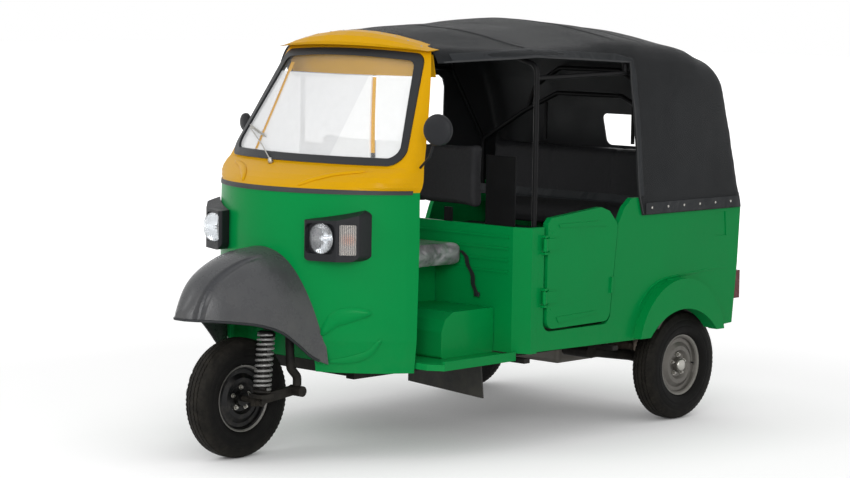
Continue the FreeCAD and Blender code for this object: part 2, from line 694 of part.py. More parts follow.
for side, sign, corners in (("left", 1, left_side), ("right", -1, right_side)):
    panel = new_body("side_panel_" + side)
    lift = "body_half - side_wall" if sign > 0 else "-body_half"
    last = pad(panel, outline(panel, "YZ_Plane", corners, lift), "side_wall")
    if sign > 0:
        spots = [Vector(0, number("-door_front_ahead + 415 + door_gap"), 490),
                 Vector(0, number("-door_front_ahead - door_gap"), 490)]
        round_corners(panel, last, spots, "45", Vector(1, 0, 0))
    flare_lift = "body_half - 2" if sign > 0 else "-body_half - flare_out"
    pad(panel, circle_outline(panel, "YZ_Plane", "-flare_ahead", "flare_centre_z", "flare_radius", flare_lift),
        "flare_out + 2")
    below = [("-700", "-100"), ("500", "-100"), ("500", "sill_z - 2"), ("-700", "sill_z + 8")]
    pocket(panel, outline(panel, "YZ_Plane", below, flare_lift), "flare_out + 2", True)
    pocket(panel, circle_outline(panel, "YZ_Plane", "-arch_ahead", "arch_centre_z", "arch_radius",
                                 "-body_half - 100"), "2 * body_half + 200", True)
    recess = [("146", "824"), ("232", "820"), ("226", "884"), ("222", "930"), ("146", "930")]
    pocket(panel, outline(panel, "YZ_Plane", recess, "body_half - 4" if sign > 0 else "-body_half + 4"),
           "20", sign > 0)
    if sign > 0:
        for hinge_z in HINGE_HEIGHTS:
            for low in (" - 40", " + 31"):
                lug = [("body_half - 2", HINGE_Y + " - 8"), (HINGE_X + " + 7", HINGE_Y + " - 8"),
                       (HINGE_X + " + 7", HINGE_Y + " + 7"), ("body_half - 2", HINGE_Y + " + 7")]
                pad(panel, outline(panel, "XY_Plane", lug, hinge_z + low), "9")
            pin = circle_outline(panel, "XY_Plane", HINGE_X, HINGE_Y, "pin_radius", hinge_z + " - 40")
            pad(panel, pin, "80")
    place(panel, "0", REAR_AXLE, "0")

# Passenger door with hinge leaves
door = new_body("passenger_door")
door_lift = "body_half + door_proud - door_thickness"
last = pad(door, outline(door, "YZ_Plane", DOOR, door_lift), "door_thickness")
spots = [Vector(0, number(DOOR[index][0]), number(DOOR[index][1])) for index in (0, 5, 6)]
last = round_corners(door, last, spots, "42", Vector(1, 0, 0))
for hinge_z in HINGE_HEIGHTS:
    knuckle = circle_outline(door, "XY_Plane", HINGE_X, HINGE_Y, "hinge_radius", hinge_z + " - 26")
    pad(door, knuckle, "52")
    leaf = [(HINGE_X, HINGE_Y), (HINGE_X, "-door_front_ahead + 45"),
            ("body_half + door_proud - 1", "-door_front_ahead + 45"), ("body_half + door_proud - 1", "-door_front_ahead"),
            ("body_half + door_proud", HINGE_Y)]
    pad(door, outline(door, "XY_Plane", leaf, hinge_z + " - 24"), "48")
door_face = "body_half + door_proud - 1"
RAISED = [
    ([("-door_front_ahead + 6", "%s - 34"), ("-door_front_ahead + 78", "%s - 22"),
      ("-door_front_ahead + 78", "%s + 22"), ("-door_front_ahead + 6", "%s + 34")], HINGE_HEIGHTS, "5"),
    ([("-door_front_ahead + 66", "938"), ("-door_front_ahead + 333", "938"), ("-door_front_ahead + 384", "911"),
      ("-door_front_ahead + 340", "916"), ("-door_front_ahead + 76", "924")], ("",), "4"),
    ([("-door_front_ahead + 60", "548"), ("-door_front_ahead + 320", "556"), ("-door_front_ahead + 330", "544"),
      ("-door_front_ahead + 76", "524")], ("",), "4"),
    ([("-door_front_ahead + 414", "624"), ("-door_front_ahead + 428", "624"), ("-door_front_ahead + 433", "692"),
      ("-door_front_ahead + 419", "692")], ("",), "9"),
]
for corners, heights, rise in RAISED:
    for height in heights:
        shape = [(across, up % height if height else up) for across, up in corners]
        pad(door, outline(door, "YZ_Plane", shape, door_face), rise)
bore = circle_outline(door, "XY_Plane", HINGE_X, HINGE_Y, "pin_radius + pin_clearance", "580")
pocket(door, bore, "320", True)
place(door, "0", REAR_AXLE, "0")

# Rear panel with the hole of the engine lid
panel_front = "rear_overhang - 40"
rear_panel = new_body("rear_panel")
lean = [("rear_overhang - 78", "sill_z + 14"), ("rear_overhang - 54", "sill_z + 14"),
        ("rear_overhang - 24", "692"), ("rear_overhang - 9", "hem_z"), ("rear_overhang - 17", "quarter_z"),
        ("rear_overhang - 41", "quarter_z"), ("rear_overhang - 33", "hem_z"), ("rear_overhang - 48", "692")]
rear_half = "(body_half - side_wall - seat_gap)"
pad(rear_panel, outline(rear_panel, "YZ_Plane", lean, "-" + rear_half), "2 * " + rear_half)
lid_half, lid_low, lid_high = "330", "500", "880"
hole = [("-" + lid_half + " - 6", lid_low + " - 6"), (lid_half + " + 6", lid_low + " - 6"),
        (lid_half + " + 6", lid_high + " + 6"), ("-" + lid_half + " - 6", lid_high + " + 6")]
pocket(rear_panel, outline(rear_panel, "XZ_Plane", hole, "-rear_overhang - 20"), "150", True)
face_y = "(rear_overhang - 24 + (%s - 692) * 15 / (hem_z - 692))"
LID_AXIS_Y = face_y % lid_high + " + 6"
LID_AXIS_Z = lid_high + " + 4"
for centre in (" - 220", " + 220"):
    for edge in (" - 36", " + 26"):
        lug = [(LID_AXIS_Y + " - 4", LID_AXIS_Z + " - 4"), (LID_AXIS_Y + " + 4", LID_AXIS_Z + " - 4"),
               (LID_AXIS_Y + " + 4", LID_AXIS_Z + " + 5"), (LID_AXIS_Y + " - 9", LID_AXIS_Z + " + 22"),
               (LID_AXIS_Y + " - 9", LID_AXIS_Z + " + 4"), (LID_AXIS_Y + " - 4", LID_AXIS_Z + " + 4")]
        pad(rear_panel, outline(rear_panel, "YZ_Plane", lug, "0" + centre + edge), "10")
    pin = circle_outline(rear_panel, "YZ_Plane", LID_AXIS_Y, LID_AXIS_Z, "lid_pin_radius", "0" + centre + " - 36")
    pad(rear_panel, pin, "72")
place(rear_panel, "0", REAR_AXLE, "0")

lid = new_body("engine_lid")
low_y = "(rear_overhang - 54 + (%s - 419) * 30 / 273)" % lid_low
lid_side = [(low_y + " - 16", lid_low), (low_y, lid_low), (face_y % "692", "692"),
            (face_y % lid_high, lid_high), (face_y % lid_high + " - 16", lid_high), (face_y % "692" + " - 16", "692")]
pad(lid, outline(lid, "YZ_Plane", lid_side, "-" + lid_half), "2 * " + lid_half)
for centre in (" - 220", " + 220"):
    pad(lid, circle_outline(lid, "YZ_Plane", LID_AXIS_Y, LID_AXIS_Z, "lid_knuckle_radius", "0" + centre + " - 20"), "40")
    leaf = [(LID_AXIS_Y, LID_AXIS_Z), (LID_AXIS_Y + " - 5", LID_AXIS_Z), (LID_AXIS_Y + " - 9", LID_AXIS_Z + " - 5"),
            (LID_AXIS_Y + " - 12", LID_AXIS_Z + " - 34"), (LID_AXIS_Y + " - 4", LID_AXIS_Z + " - 34")]
    pad(lid, outline(lid, "YZ_Plane", leaf, "0" + centre + " - 20"), "40")
bore = circle_outline(lid, "YZ_Plane", LID_AXIS_Y, LID_AXIS_Z, "lid_pin_radius + pin_clearance", "-260")
pocket(lid, bore, "520", True)
place(lid, "0", REAR_AXLE, "0")

# Passenger floor, seat box and cushions
inside_half = size.body_half - size.side_wall - size.seat_gap
hub_x = size.body_half - size.tyre_inset
room_front = bulkhead_y + size.bulkhead_wall + size.seat_gap
seat_front = rear_y - 440
passenger_floor = slab_z([
    (-inside_half + 3, room_front + 26), (-inside_half + 66, room_front), (inside_half - 66, room_front),
    (inside_half - 3, room_front + 26), (inside_half, room_front + 60), (inside_half, seat_front - size.seat_gap),
    (-inside_half, seat_front - size.seat_gap), (-inside_half, room_front + 60),
], size.passenger_floor_z - 20, size.passenger_floor_z)
# Wheel houses over the rear tyres, closed on the cabin side above the axle
def wheel_house():
    """Half ring over the left tyre with an inner wall."""
    centre = Vector(0, rear_y, size.tyre_radius)
    outer, inner = size.tyre_radius + 46, size.tyre_radius + 38
    x_low, x_high = hub_x - size.tyre_width / 2 - 40, inside_half
    axis = Vector(1, 0, 0)
    ring = Part.makeCylinder(outer, x_high - x_low, centre + Vector(x_low, 0, 0), axis)
    ring = ring.cut(Part.makeCylinder(inner, x_high - x_low - 6, centre + Vector(x_low + 6, 0, 0), axis))
    return ring.cut(block(0, 900, rear_y - 400, rear_y + 400, -100, size.sill_z + 25))


wheel_house_left = wheel_house()
feature("passenger_floor", Part.makeCompound([passenger_floor, wheel_house_left, mirrored(wheel_house_left)]))

seat_top = 705
rear_inner = rear_y + size.rear_overhang - 84
seat_box = block(-inside_half, inside_half, seat_front, rear_inner, size.sill_z, seat_top)
seat_box = seat_box.cut(block(-inside_half - 1, inside_half + 1, seat_front + 20, rear_inner + 1, 0, seat_top - 20))
feature("passenger_seat_box", seat_box)

cushion_low = seat_top + size.seat_gap
cushion = block(-inside_half + 12, inside_half - 12, seat_front - 15, rear_y + 82,
                cushion_low, cushion_low + size.cushion_thickness)
feature("passenger_cushion", rounded(cushion, 18))
rest_low = cushion_low + size.cushion_thickness + size.seat_gap
rest_top = 1205
backrest = slab_x([
    (rear_y + 20, rest_low), (rear_y + 120, rest_low), (rear_y + 190, rest_top), (rear_y + 100, rest_top),
], -580, 580)
feature("passenger_backrest", rounded(backrest, 18))

# Driver's seat box, seat riser, cushion and backrest
step_y = bulkhead_y - 5 - size.seat_gap
seat_locker = slab_x([
    (step_y - 320, size.floor_top_z + size.seat_gap), (step_y, size.floor_top_z + size.seat_gap),
    (step_y, 588), (step_y - 250, 588), (step_y - 300, 560), (step_y - 320, 510),
], -545, 545)
seat_locker = rounded(seat_locker, 14, Vector(1, 0, 0))
riser_low, riser_top = 580, 752
riser = slab_x([
    (step_y - 235, riser_low), (step_y, riser_low), (step_y, riser_top), (step_y - 260, riser_top),
], -210, 210)
feature("driver_seat_base", seat_locker.fuse(riser).removeSplitter())
driver_low = riser_top + size.seat_gap
driver_cushion = block(-380, 380, step_y - 330, step_y, driver_low, driver_low + size.cushion_thickness)
feature("driver_cushion", rounded(driver_cushion, 20))
rest_foot = size.waist_z + size.seat_gap
driver_backrest = block(-470, 470, bulkhead_y - 40, bulkhead_y + 22, 990, 1272)
feature("driver_backrest", rounded(driver_backrest, 20))
stay = block(250, 290, bulkhead_y + 2, bulkhead_y + 14, rest_foot, 990 - size.seat_gap)
partition = block(478, 640, bulkhead_y + 8, bulkhead_y + 14, rest_foot, 1222)
feature("partition_panels", Part.makeCompound([stay, mirrored(stay), partition, mirrored(partition)]))

# Dashboard shelf and instrument pod behind the nose
dash_room = cab_solid(lower_sections, size.cab_wall + size.seat_gap)
dash = dash_room.common(block(-560, 560, front_y, doorway_low_y - 90, 985, 1003))
dash = dash.cut(block(-330, 330, front_y + 290, front_y + 900, 900, 1100))
feature("dash_shelf", dash)

# Handlebar on the steering stem
bar_centre = on_axis(1035)
grip_half = 335
bar = pipe_run([
    bar_centre + Vector(-grip_half, 80, 10), bar_centre + Vector(-200, 25, 12), bar_centre + Vector(-60, 0, 0),
    bar_centre + Vector(60, 0, 0), bar_centre + Vector(200, 25, 12), bar_centre + Vector(grip_half, 80, 10),
], 12, 60)
clamp = rod(on_axis(1003), on_axis(1065), 34)
bar = bar.fuse(clamp).cut(rod(on_axis(980), on_axis(1080), size.stem_radius))
feature("handlebar", bar)

stem_low, stem_high = 560, 1060
fork_x = size.fork_offset
crown_y = on_axis(stem_low).y
pivot = Vector(fork_x, front_y + size.link_length, size.pivot_z)
link_eye_radius = 22
stem = rod(on_axis(stem_low - 18), on_axis(stem_high), size.stem_radius)
arm = pipe_run([
    on_axis(stem_low), Vector(fork_x, crown_y - 6, stem_low + 4), Vector(fork_x - 4, pivot.y - 42, 490),
    pivot + Vector(-4, -34, 96), pivot + Vector(0, 0, 58), pivot + Vector(0, 0, link_eye_radius + size.seat_gap),
], 18, 26)
top_eye = Vector(fork_x + 8, front_y + 50, 528)
bracket = block(fork_x - 20, fork_x + 34, top_eye.y - 22, crown_y + 12, 532, 560)
fork = stem.fuse([arm, bracket])
feature("steering_fork", fork.removeSplitter())

link_eye = rod(pivot + Vector(-34, 0, 0), pivot + Vector(34, 0, 0), link_eye_radius)
axle_point = Vector(0, front_y, size.tyre_radius)
axle_reach = fork_x + 16
link_bar = slab_x([
    (front_y - 26, size.tyre_radius - 20), (front_y - 26, size.tyre_radius + 22), (pivot.y, pivot.z + 19),
    (pivot.y, pivot.z - 19),
], fork_x - 34, fork_x - 12)
stub_radius = size.hub_bore_radius - size.axle_clearance
axle = rod(axle_point + Vector(-40, 0, 0), axle_point + Vector(axle_reach, 0, 0), stub_radius)
nut = rod(axle_point + Vector(fork_x - 12, 0, 0), axle_point + Vector(fork_x + 6, 0, 0), 20)
seat_lug = block(fork_x - 30, fork_x + 46, front_y - 40, front_y + 26, size.tyre_radius + 18, size.tyre_radius + 34)
feature("front_link", link_eye.fuse([link_bar, axle, nut, seat_lug]))

# Coil spring wound over its damper, between two seats
spring_radius, seat_height, wire_radius, coil_turns = 38, 12, 6, 9.5
spring_low = Vector(fork_x + 8, front_y - 6, size.tyre_radius + 34 + size.seat_gap)
spring_high = Vector(fork_x + 8, front_y + 20, 532 - size.seat_gap)
spring_run = spring_high - spring_low
spring_way = Vector(spring_run).normalize()
level = block(0, 400, front_y - 200, front_y + 300, spring_low.z, spring_high.z)
damper = rod(spring_low, spring_high, 17)
damper = damper.fuse([rod(spring_low, spring_low + spring_way * seat_height, spring_radius),
                      rod(spring_high - spring_way * seat_height, spring_high, spring_radius)]).common(level)
coil_low = seat_height + wire_radius + size.seat_gap
coil_height = spring_run.Length - 2 * coil_low
coil_radius = spring_radius - wire_radius
coil_line = Part.makeHelix(coil_height / coil_turns, coil_height, coil_radius)
coil_line.translate(Vector(0, 0, coil_low))
coil_start = Part.Wire(Part.makeCircle(wire_radius, Vector(coil_radius, 0, coil_low), Vector(0, 1, 0)))
coil = Part.Wire(coil_line.Edges).makePipeShell([coil_start], True, True)
coil.Placement = Placement(spring_low, FreeCAD.Rotation(Vector(0, 0, 1), spring_way))
feature("front_spring", Part.makeCompound([damper, coil]))

grips = []
for sign in (1, -1):
    outer_end = bar_centre + Vector(sign * grip_half, 80, 10)
    inner_end = bar_centre + Vector(sign * 200, 25, 12)
    run = (inner_end - outer_end).normalize()
    grip = rod(outer_end - run * 8, outer_end + run * 105, 17)
    grip = grip.cut(rod(outer_end - run * 0.2, outer_end + run * 140, 12))
    grips.append(grip)
feature("handle_grips", Part.makeCompound(grips))

# Chassis rails and cross members
rail_z = floor_low - size.seat_gap - size.rail_height
rail_mid = size.rail_spread / 2
rail_front, rail_back = front_y + 370, rear_y + 250
rail = block(rail_mid - size.rail_width / 2, rail_mid + size.rail_width / 2, rail_front, rail_back,
             rail_z, rail_z + size.rail_height)
members = []
cross_half = rail_mid
for cross_y in (rail_front + 30, bulkhead_y + 10, seat_front - 60, rear_y - 272, rear_y + 192):
    members.append(block(-cross_half, cross_half, cross_y - 22, cross_y + 22, rail_z + 8, rail_z + 52))

# Outriggers carry the passenger floor and side panels
outriggers = []
out_low = rail_mid
for out_y in (bulkhead_y + 40, rear_y - 520):
    outriggers.append(block(out_low, inside_half, out_y - 18, out_y + 18, floor_low - 12, floor_low + 8))
jack_pad = block(rail_mid - 24, rail_mid + 24, size.jack_y - 30, size.jack_y + 30, rail_z - size.jack_pad, rail_z)
ladder = rail.fuse([mirrored(rail), jack_pad, mirrored(jack_pad)] + members
                   + outriggers + [mirrored(piece) for piece in outriggers])
feature("chassis_frame", ladder.removeSplitter())

# Engine and gearbox in one plain block, drive shafts, rear arms, stub axles and dampers
engine = rounded(block(-190, 150, rear_y - 250, rear_y + 170, 215, 560), 25)
feature("engine_block", engine)
axle_y = Vector(0, rear_y, size.tyre_radius)
arm_pivot = Vector(rail_mid + 60, rear_y - 380, 318)
arm_end_x = hub_x - 95
rear_arm = pipe_run([
    Vector(arm_pivot.x + 60, arm_pivot.y, arm_pivot.z), Vector(arm_end_x - 40, rear_y - 150, 285),
    Vector(arm_end_x, rear_y - 6, size.tyre_radius + 4),
], 24, 60)
eye = rod(arm_pivot + Vector(-37, 0, 0), arm_pivot + Vector(110, 0, 0), 30)
carrier = rod(axle_y + Vector(arm_end_x - 30, 0, 0), axle_y + Vector(hub_x - 40, 0, 0), 46)
stub = rod(axle_y + Vector(arm_end_x - 30, 0, 0), axle_y + Vector(hub_x + 36, 0, 0), stub_radius)
damper_x, damper_foot = 468, size.tyre_radius + 30
lug = block(damper_x - 30, arm_end_x, rear_y - 36, rear_y + 16, damper_foot - 24, damper_foot)
rear_arm = rear_arm.fuse([eye, carrier, stub, lug]).removeSplitter()
shaft = rod(axle_y + Vector(150 + size.seat_gap, 0, 25), axle_y + Vector(arm_end_x - 30 - size.seat_gap, 0, 0), 14)
shaft = shaft.common(block(150 + size.seat_gap, arm_end_x - 30 - size.seat_gap, rear_y - 100, rear_y + 100, 0, 500))
other_shaft = rod(axle_y + Vector(-190 - size.seat_gap, 0, 25),
                  axle_y + Vector(-arm_end_x + 30 + size.seat_gap, 0, 0), 14)
other_shaft = other_shaft.common(block(-arm_end_x + 30 + size.seat_gap, -190 - size.seat_gap,
                                       rear_y - 100, rear_y + 100, 0, 500))
rear_damper = rod(Vector(damper_x, rear_y - 10, damper_foot + size.seat_gap),
                  Vector(damper_x, rear_y - 10, seat_top - 20 - size.seat_gap), 28)
feature("rear_suspension", Part.makeCompound([rear_arm, mirrored(rear_arm), shaft, other_shaft,
                                              rear_damper, mirrored(rear_damper)]))

# Exhaust tail pipe under the rear left corner
muffler = rounded(block(180, 330, rear_y + 60, rear_y + 250, 235, rail_z - size.seat_gap), 20)
tail = rod(Vector(300, rear_y + 200, 285), Vector(520, rear_y + 330, 345), 19)
feature("exhaust", muffler.fuse(tail).removeSplitter())

# Lamps
pod_sections = [
    (size.cab_sill_z + 130, nose_y - 7, size.cab_half, size.nose_radius, size.cab_corner_radius),
    (size.belt_z, nose_y - 7, size.cab_half, size.nose_radius, size.cab_corner_radius),
]
pod_inner, pod_outer, pod_corner = 243, 450, 385
pod_low, pod_front_top, pod_back_top = 816, 978, 1022
lamp_x, lamp_z, lamp_radius = 316, 907, 61
lamp_room = lamp_radius + size.seat_gap


def pod_prism(inward, grow):
    """Plan outline of the left pod, its front drawn in by inward and its sides by grow."""
    y = front_y + inward
    return slab_z([
        (pod_inner + grow, y + 122), (pod_corner, y + 176), (pod_outer - grow, y + 243), (pod_outer - grow - 6, y + 400),
        (pod_inner + grow, y + 400),
    ], 700, 1100)


def window(x_low, x_high, z_low, z_high, radius):
    """Front-view opening with round corners, along Y."""
    shape = block(x_low, x_high, front_y, front_y + 500, z_low, z_high)
    return rounded(shape, radius, Vector(0, 1, 0))


pod = pod_prism(0, 0)
pod = rounded(pod, 14, Vector(0, 0, 1))
pod = pod.common(window(pod_inner, pod_outer, pod_low, pod_back_top, 34))
pod = pod.cut(slab_x([(front_y, pod_front_top - 8), (front_y + 178, pod_front_top + 4), (front_y + 300, pod_back_top),
                      (front_y + 300, 1200), (front_y, 1200)], 0, 900))
pod = pod.cut(cab_solid(pod_sections, -size.seat_gap))
lamp_pit = pod_prism(-60, 0).cut(pod_prism(26, 0)).common(window(lamp_x - lamp_room, lamp_x + lamp_room, lamp_z - lamp_room, lamp_z + lamp_room, 24))
side_pit = pod_prism(-60, 0).cut(pod_prism(8, 0)).common(window(391, 441, 842, 966, 5))
pod = pod.cut(lamp_pit).cut(side_pit)
pod = max(pod.Solids, key=lambda item: item.Volume)
feature("headlamp_housings", pair(pod))
lens = rod(Vector(lamp_x, front_y, lamp_z), Vector(lamp_x, front_y + 500, lamp_z), lamp_radius)
ball = Part.makeSphere(150, Vector(lamp_x, front_y + 290, lamp_z))
lens = lens.common(ball).cut(cab_solid(pod_sections, -60)).common(pod_prism(-60, 0).cut(pod_prism(26 - size.seat_gap, 0)))
lens = max(lens.Solids, key=lambda item: item.Volume)
flasher = pod_prism(-4, 0).cut(pod_prism(8 - size.seat_gap, 0))
flasher = flasher.common(window(391 + size.seat_gap, 441 - size.seat_gap, 842 + size.seat_gap, 966 - size.seat_gap, 4))
flasher = max(flasher.Solids, key=lambda item: item.Volume)
feature("lamp_lenses", Part.makeCompound([lens, mirrored(lens), flasher, mirrored(flasher)]))

lamp_face = rear_y + size.rear_overhang
tail_lamp = block(size.body_half - 75, size.body_half, lamp_face - 60, lamp_face, 528, 655)
lamp_back = size.seat_gap * 1.05
tail_lamp = tail_lamp.cut(slab_x([
    (lamp_face - 54 + lamp_back, 419), (lamp_face - 24 + lamp_back, 692), (lamp_face - 124, 692),
    (lamp_face - 124, 419)], 0, 900))
feature("tail_lamps", pair(tail_lamp))

# Mirrors
def mirror(base, centre, facing, radius):
    """Round mirror head on a thin bent stay."""
    normal = Vector(math.sin(math.radians(facing)), -math.cos(math.radians(facing)), 0)
    head = Part.makeCylinder(radius, 12, centre + normal * -6, normal)
    stay = pipe_run([base, base + (centre - base) * 0.45 + Vector(12 if base.x > 0 else -12, 0, -20), centre], 5, 20)
    whole = head.fuse(stay)
    whole = whole.cut(cab_solid(upper_sections, -size.seat_gap)).cut(cab_solid(screen_sections, -size.seat_gap))
    return max(whole.Solids, key=lambda item: item.Volume)


left_base = Vector(538, doorway_low_y + 12, 1184)
left_mirror = mirror(left_base, Vector(690, front_y + 432, 1350), 15, 62)
right_base = Vector(-505, front_y + 492, 1216)
right_mirror = mirror(right_base, Vector(-655, front_y + 650, 1315), -15, 38)
feature("mirrors", Part.makeCompound([left_mirror, right_mirror]))

# Black splash flap under the driver's floor
flap = slab_y([(75, 226), (505, 200), (490, rail_z + 30), (75, rail_z + 30)], bulkhead_y - 12 - size.seat_gap - 8, bulkhead_y - 12 - size.seat_gap)
flap = flap.cut(block(rail_mid - size.rail_width / 2 - 1, rail_mid + size.rail_width / 2 + 1, -2000, 2000,
                      rail_z - size.seat_gap, 900))
feature("splash_flap", flap)

# Soft roof: a tunnel of cross-sections, cut to the side profile
def roof_section(row, inset):
    """Cross-section of the roof: walls that lean in above the panels, round shoulders and a bowed crown."""
    y, half, crown, edge_in, edge_drop, wall_drop = row
    half, crown, foot = half - inset, crown - inset, size.roof_half - inset
    inner, edge, wall_top = half - edge_in, crown - edge_drop, crown - wall_drop
    base = size.hem_z - (20 if inset else 0)

    def at(x, z):
        return Vector(x, y, z)

    middle_x = half - edge_in * 0.27
    middle_z = wall_top + (edge - wall_top) * 0.68
    return Part.Wire([
        Part.LineSegment(at(foot, base), at(foot, size.quarter_z + 12)).toShape(),
        Part.LineSegment(at(foot, size.quarter_z + 12), at(half, wall_top)).toShape(),
        Part.Arc(at(half, wall_top), at(middle_x, middle_z), at(inner, edge)).toShape(),
        Part.Arc(at(inner, edge), at(0, crown), at(-inner, edge)).toShape(),
        Part.Arc(at(-inner, edge), at(-middle_x, middle_z), at(-half, wall_top)).toShape(),
        Part.LineSegment(at(-half, wall_top), at(-foot, size.quarter_z + 12)).toShape(),
        Part.LineSegment(at(-foot, size.quarter_z + 12), at(-foot, base)).toShape(),
        Part.LineSegment(at(-foot, base), at(foot, base)).toShape(),
    ])


roof_front = front_y + size.roof_front_back
crown_z = size.roof_crown_z
roof_rows = [
    (roof_front, 458, crown_z - 52, 150, 46, 128),
    (roof_front + 130, 566, crown_z - 44, 160, 62, 140),
    (bulkhead_y + 60, size.roof_half - 14, crown_z - 32, 145, 76, 140),
    (rear_y - 700, size.roof_half, crown_z - 8, 135, 70, 147),
    (rear_y - 520, size.roof_half, crown_z, 135, 68, 155),
    (rear_y - 260, size.roof_half, crown_z - 16, 145, 66, 150),
    (rear_y - 50, size.roof_half, crown_z - 42, 165, 72, 150),
    (rear_y + 120, size.roof_half - 8, crown_z - 74, 200, 92, 170),
    (rear_y + 250, size.roof_half - 22, crown_z - 110, 230, 120, 220),
    (rear_y + 400, size.roof_half - 42, crown_z - 160, 250, 150, 280),
]
ROOF_BACK = [(0, 945), (-58, 1200), (-124, 1420), (-176, 1545), (-250, 1640), (-370, 1720), (-560, 1790)]


def roof_solid(inset):
    """Outer or inner body of the soft roof."""
    rows = [roof_section(row, inset) for row in roof_rows]
    rows[0].translate(Vector(0, -inset, 0))
    tunnel = Part.makeLoft(rows, True, True)
    rear = rear_y + size.rear_overhang - inset
    back = Part.BSplineCurve()
    back.interpolate([Vector(-900, rear + y, z - inset * 0.5 * (z > 1500)) for y, z in ROOF_BACK])
    top = Vector(-900, rear + ROOF_BACK[-1][0], 1900)
    start, end = back.StartPoint, back.EndPoint
    around = Part.makePolygon([end, top, Vector(-900, roof_front - 60, 1900), Vector(-900, roof_front - 60, 0),
                               Vector(-900, rear, 0), start])
    profile = Part.Face(Part.Wire([back.toShape()] + around.Edges)).extrude(Vector(1800, 0, 0))
    return tunnel.common(profile)


roof = roof_solid(0).cut(roof_solid(size.roof_wall))
roof = roof.cut(slab_x([
    (roof_front - 100, 0), (roof_front - 100, 1600), (roof_front + 20, 1604), (bulkhead_y + 60, size.opening_head_z),
    (rear_y - 505, 1604), (rear_y - 470, 1400), (rear_y - 418, 1023), (rear_y - 382, size.hem_z - 30),
    (rear_y - 382, 0),
], 0, 900))
roof = roof.cut(slab_x([
    (roof_front - 100, 0), (roof_front - 100, 1580), (roof_front + 20, 1584), (bulkhead_y - 100, 1560),
    (bulkhead_y + 60, 1505), (rear_y - 130, 1500), (rear_y - 100, 1480), (rear_y - 90, 1440), (rear_y - 95, 1020),
    (rear_y - 130, size.hem_z - 30), (rear_y - 130, 0),
], -900, 0))
roof = roof.cut(rounded(block(-22, 430, rear_y, rear_y + 600, 1190, 1338), 30, Vector(0, 1, 0)))
roof = roof.cut(visor_room).cut(cab_solid(screen_sections, -1))
roof = max(roof.Solids, key=lambda item: item.Volume)
feature("soft_roof", roof)


# Tube frame under the soft roof: bows, rear hoops, side rails and posts
def roof_at(y):
    """Sizes of the roof's cross-section at one place along it."""
    for low, high in zip(roof_rows, roof_rows[1:]):
        if low[0] <= y <= high[0]:
            share = (y - low[0]) / (high[0] - low[0])
            return [first + share * (second - first) for first, second in zip(low[1:], high[1:])]
    return list(roof_rows[-1][1:])


tube = size.tube_radius
rail_tube = tube - 2
tube_inset = size.roof_wall + tube + 8


def across(right):
    """A row of points on the left side, carried over to the right side."""
    return right + [Vector(-point.x, point.y, point.z) for point in reversed(right)]


def bow(y):
    """Corner points of a tube across the vehicle, following the inside of the roof."""
    half, crown, edge_in, edge_drop, wall_drop = roof_at(y)
    half, crown = half - tube_inset, crown - tube_inset
    wall_top, edge = crown - wall_drop, crown - edge_drop - 12
    return [Vector(half, y, wall_top - 40), Vector(half, y, wall_top + 12),
            Vector(half - edge_in, y, edge), Vector(half * 0.4, y, crown - 26)]


bend = 45
bows = [bow(bulkhead_y + 76), bow(rear_y - 505), bow(rear_y - 60)]
front_bow = [Vector(bows[0][0].x, bows[0][0].y, size.waist_z + size.seat_gap)] + bows[0][1:]
frame = pipe_run(across(front_bow), tube, bend).fuse([pipe_run(across(line), tube, bend) for line in bows[1:]])
hoop_y = rear_y + 118
drop_x, drop_z = 655, 1190
low_hoop = [Vector(drop_x, hoop_y, size.quarter_z - 20), Vector(drop_x, hoop_y, drop_z),
            Vector(390, hoop_y, 1340), Vector(190, hoop_y, 1430)]
high_hoop = [Vector(372, hoop_y, 1352), Vector(330, hoop_y, 1460), Vector(180, hoop_y, 1548)]
frame = frame.fuse([pipe_run(across(low_hoop), tube, bend), pipe_run(across(high_hoop), tube, bend)])
for sign in (1, -1):
    ends = [Vector(sign * line[0].x, line[0].y, line[0].z) for line in bows]
    drop = Vector(sign * drop_x, hoop_y, drop_z)
    frame = frame.fuse([
        rod(ends[0], ends[1], rail_tube), rod(ends[1], ends[2], rail_tube), rod(ends[2], drop, rail_tube),
        rod(Vector(sign * 262, hoop_y, 1385), Vector(sign * 262, hoop_y, rest_top + 6), rail_tube),
    ])
feature("roof_frame", frame.removeSplitter())

# Check every object, then write one file per sub-part
doc.recompute()
for item in doc.Objects:
    if "Invalid" in item.State or "Error" in item.State:
        raise RuntimeError(item.Label + " failed: " + ", ".join(item.State))
os.makedirs("parts", exist_ok=True)
for item in PARTS:
    shape = item.Shape
    if shape.isNull() or not shape.isValid() or not shape.Solids:
        raise RuntimeError(item.Label + " has no valid solid")
    shape.exportStep("parts/%s.step" % item.Label)
    print(item.Label, len(shape.Solids), "solids", round(shape.Volume / 1e6, 3), "litres")
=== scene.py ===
import math

import bmesh
import bpy
from bpy.props import FloatProperty, FloatVectorProperty, IntProperty, PointerProperty
from bpy.types import NodeSocket, Operator, Panel, PropertyGroup
from mathutils import Matrix, Vector, noise
from mathutils.bvhtree import BVHTree


